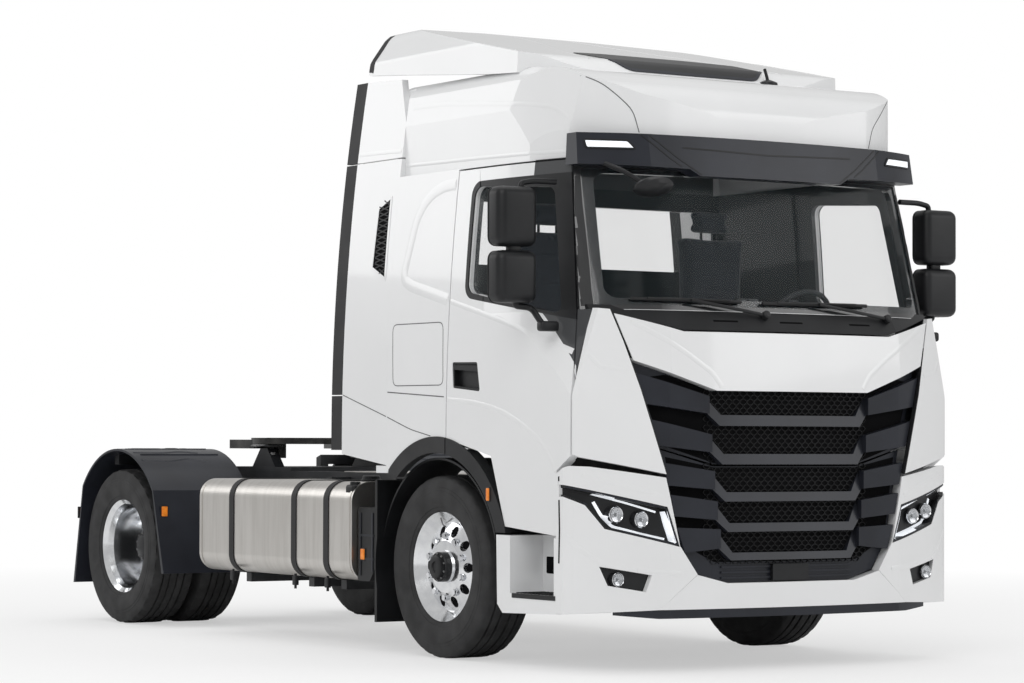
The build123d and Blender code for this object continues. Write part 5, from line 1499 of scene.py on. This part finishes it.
def upholster(pad, levels=1, node=None):
    soften = pad.modifiers.new("soft", "SUBSURF")
    soften.levels = soften.render_levels = levels
    apply_stack(pad)
    tidy_mesh(pad, angle=60)
    settle(pad, "cab")
    if node:
        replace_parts(pad, node)


class TRACTOR_OT_seats(bpy.types.Operator):
    """Two soft seats with their head rests, on sprung plinths"""
    bl_idname = "tractor.seats"
    bl_label = "Seats"
    # Name, half width, y, z, crown, the channels' axis and places, and the node it replaces
    pads = (
        ("seat_pad", 235, (-548, -72), (1568, 1690), 0.012, "y", (-400, -240), "seats"),
        ("seat_back", 225, (-168, -66), (1702, 2338), 0.0, "z", (1860, 2040, 2200), None),
        ("head_rest", 135, (-150, -70), (2366, 2490), 0.0, "z", (), None),
    )

    def execute(self, context):
        for side, hand in SIDES:
            x = 560 * hand
            for name, half, ys, zs, crown, axis, lines, node in self.pads:
                pad = padded_form(f"{name}_{side}", (x - half, x + half), ys, zs, "seat cloth", crown=crown)
                inflate(pad)
                origin = 0 if axis == "z" else FRONT_AXLE
                places = [p / 1000 + origin for p in lines]
                press_line(pad, axis, places, ((x - 150) / 1000, (x + 150) / 1000))
                upholster(pad, 1, node)
            self.frame(side, x)
        return {"FINISHED"}

    def frame(self, side, x):
        """Plinth, bellows, back plate and head rest posts of one seat."""
        bellows = []
        for i in range(4):
            inset = 20 if i % 2 else 6
            bellows.append(lump((x - 185 + inset, x + 185 - inset), (-475 + inset, -125 - inset),
                                (1292 + i * 60, 1350 + i * 60), 12))
        build(f"seat_frame_{side}", "cabin trim", "cab", "trim_plastic",
              lump((x - 190, x + 190), (-480, -120), (1196, 1290), 14), *bellows,
              lump((x - 215, x + 215), (-530, -84), (1534, 1566), 10),
              lump((x - 150, x + 150), (-66, -62), (1720, 2300), 2),
              *(tube(path(1, (at, -112, 2322), (at, -112, 2385)), 0.008, 10) for at in (x - 60, x + 60)))


class TRACTOR_OT_bunk(bpy.types.Operator):
    """The soft bunk with its two mattress halves"""
    bl_idname = "tractor.bunk"
    bl_label = "Bunk"

    def execute(self, context):
        low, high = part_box("bunk")
        x0, x1 = low.x * 1000, high.x * 1000
        y0, y1 = ((v - FRONT_AXLE) * 1000 for v in (low.y, high.y))
        z0, z1 = low.z * 1000, high.z * 1000
        for name, xs, node in (("bunk_right", (x0 + 8, -4), "bunk"), ("bunk_left", (4, x1 - 8), None)):
            pad = padded_form(name, xs, (y0 + 8, y1 - 8), (z1 - 112, z1 - 8), "bunk cloth", crown=0.01,
                              waist=0.008, cell=0.012)
            inflate(pad, 0.008)
            upholster(pad, 1, node)
        build("bunk_board", "cabin trim", "cab", "trim_plastic",
              lump((x0 + 2, x1 - 2), (y0 + 2, y1 - 2), (z0 + 2, z1 - 116), 6))
        return {"FINISHED"}


class TRACTOR_OT_dashboard(bpy.types.Operator):
    """Instrument hood, screens and mounts on the dashboard, and the steering wheel's hub"""
    bl_idname = "tractor.dashboard"
    bl_label = "Dashboard"

    def execute(self, context):
        build("dash_fittings", "cabin trim", "cab", "trim_plastic",
              lump((330, 800), (-1150, -985), (1842, 1880), 16),
              *(lump((x - 34, x + 34), (-1275, -1235), (1843, 1935), 8) for x in (-30, -110, 240)))
        build("dash_screens", "gloss black", "cab", "trim_plastic",
              *(lump((x - 80, x + 80), (-962, -952), (1690, 1748), 4) for x in (-640, -380, 160)),
              lump((380, 750), (-958, -950), (1640, 1745), 6),
              lump((-70, 110), (-962, -950), (1600, 1745), 6))
        lean = math.radians(62)
        build("steering_hub", "cabin trim", "cab", "trim_plastic", turned(
            [(-0.03, 0), (-0.03, 0.05), (0.004, 0.078), (0.016, 0.072), (0.02, 0.05), (0.02, 0)],
            metres(560, -905, 1810), (0, math.sin(lean), math.cos(lean)), 32, closed=False))
        return {"FINISHED"}


class TRACTOR_OT_finishes(bpy.types.Operator):
    """Every material, laid on the frame's own pieces"""
    bl_idname = "tractor.finishes"
    bl_label = "Finishes"

    def execute(self, context):
        values = settings()
        paint, black = tuple(values.paint), (0.012, 0.0125, 0.014)
        inside = ((0.045, 0.047, 0.05), 0.8, inner_zone)
        made = (
            *fixed_finishes(), body_paint(paint), dark_plastic(tuple(values.plastic)),
            cloth((0.05, 0.055, 0.07), "seat cloth"), cloth((0.16, 0.165, 0.18), "bunk cloth"),
            zoned_paint(paint, "cab paint", (inside, (black, 0.25, pillar_zone))),
            # Painted shade: the corner panels' edge inside the grille's gaps turns near black.
            zoned_paint(paint, "corner paint", (((0.01, 0.0105, 0.012), 0.6, grille_gap_painted_shade_zone),)),
            zoned_paint(paint, "roof paint", (((0.1, 0.103, 0.107), 0.8, under_roof_zone),)),
            floor_finish(tuple(values.floor)),
        )
        for material in made:
            palette[material.name] = material
        for name, nodes in NODE_FINISH.items():
            for node in nodes:
                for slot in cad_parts[node].material_slots:
                    slot.material = palette[name]
        return {"FINISHED"}


class TRACTOR_PT_tools(bpy.types.Panel):
    """Lists the unit's pieces and its settings"""
    bl_idname = "TRACTOR_PT_tools"
    bl_label = "Tractor unit"
    bl_space_type = "VIEW_3D"
    bl_region_type = "UI"
    bl_category = "Tractor"

    def draw(self, context):
        layout = self.layout
        values = settings()
        for name in values.bl_rna.properties.keys():
            if name not in ("rna_type", "name"):
                layout.prop(values, name)
        for item in STEPS:
            layout.operator(item.bl_idname)


# The order in which the pieces are made
STEPS = (
    TRACTOR_OT_finishes,
    TRACTOR_OT_stage,
    TRACTOR_OT_tyres,
    TRACTOR_OT_wheel_fittings,
    TRACTOR_OT_grille,
    TRACTOR_OT_lamps,
    TRACTOR_OT_front,
    TRACTOR_OT_cab_sides,
    TRACTOR_OT_doors,
    TRACTOR_OT_roof,
    TRACTOR_OT_visor,
    TRACTOR_OT_mirrors,
    TRACTOR_OT_markers,
    TRACTOR_OT_tank,
    TRACTOR_OT_steps,
    TRACTOR_OT_coupling,
    TRACTOR_OT_dashboard,
    TRACTOR_OT_seats,
    TRACTOR_OT_bunk,
)
CLASSES = (TractorSettings, *STEPS, TRACTOR_PT_tools)


def register():
    for item in CLASSES:
        bpy.utils.register_class(item)
    bpy.types.Scene.tractor_settings = PointerProperty(type=TractorSettings)


def unregister():
    del bpy.types.Scene.tractor_settings
    for item in reversed(CLASSES):
        bpy.utils.unregister_class(item)


def main():
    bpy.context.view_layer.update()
    register()
    for item in STEPS:
        space, name = item.bl_idname.split(".")
        getattr(getattr(bpy.ops, space), name)()


if __name__ == "__main__":
    main()
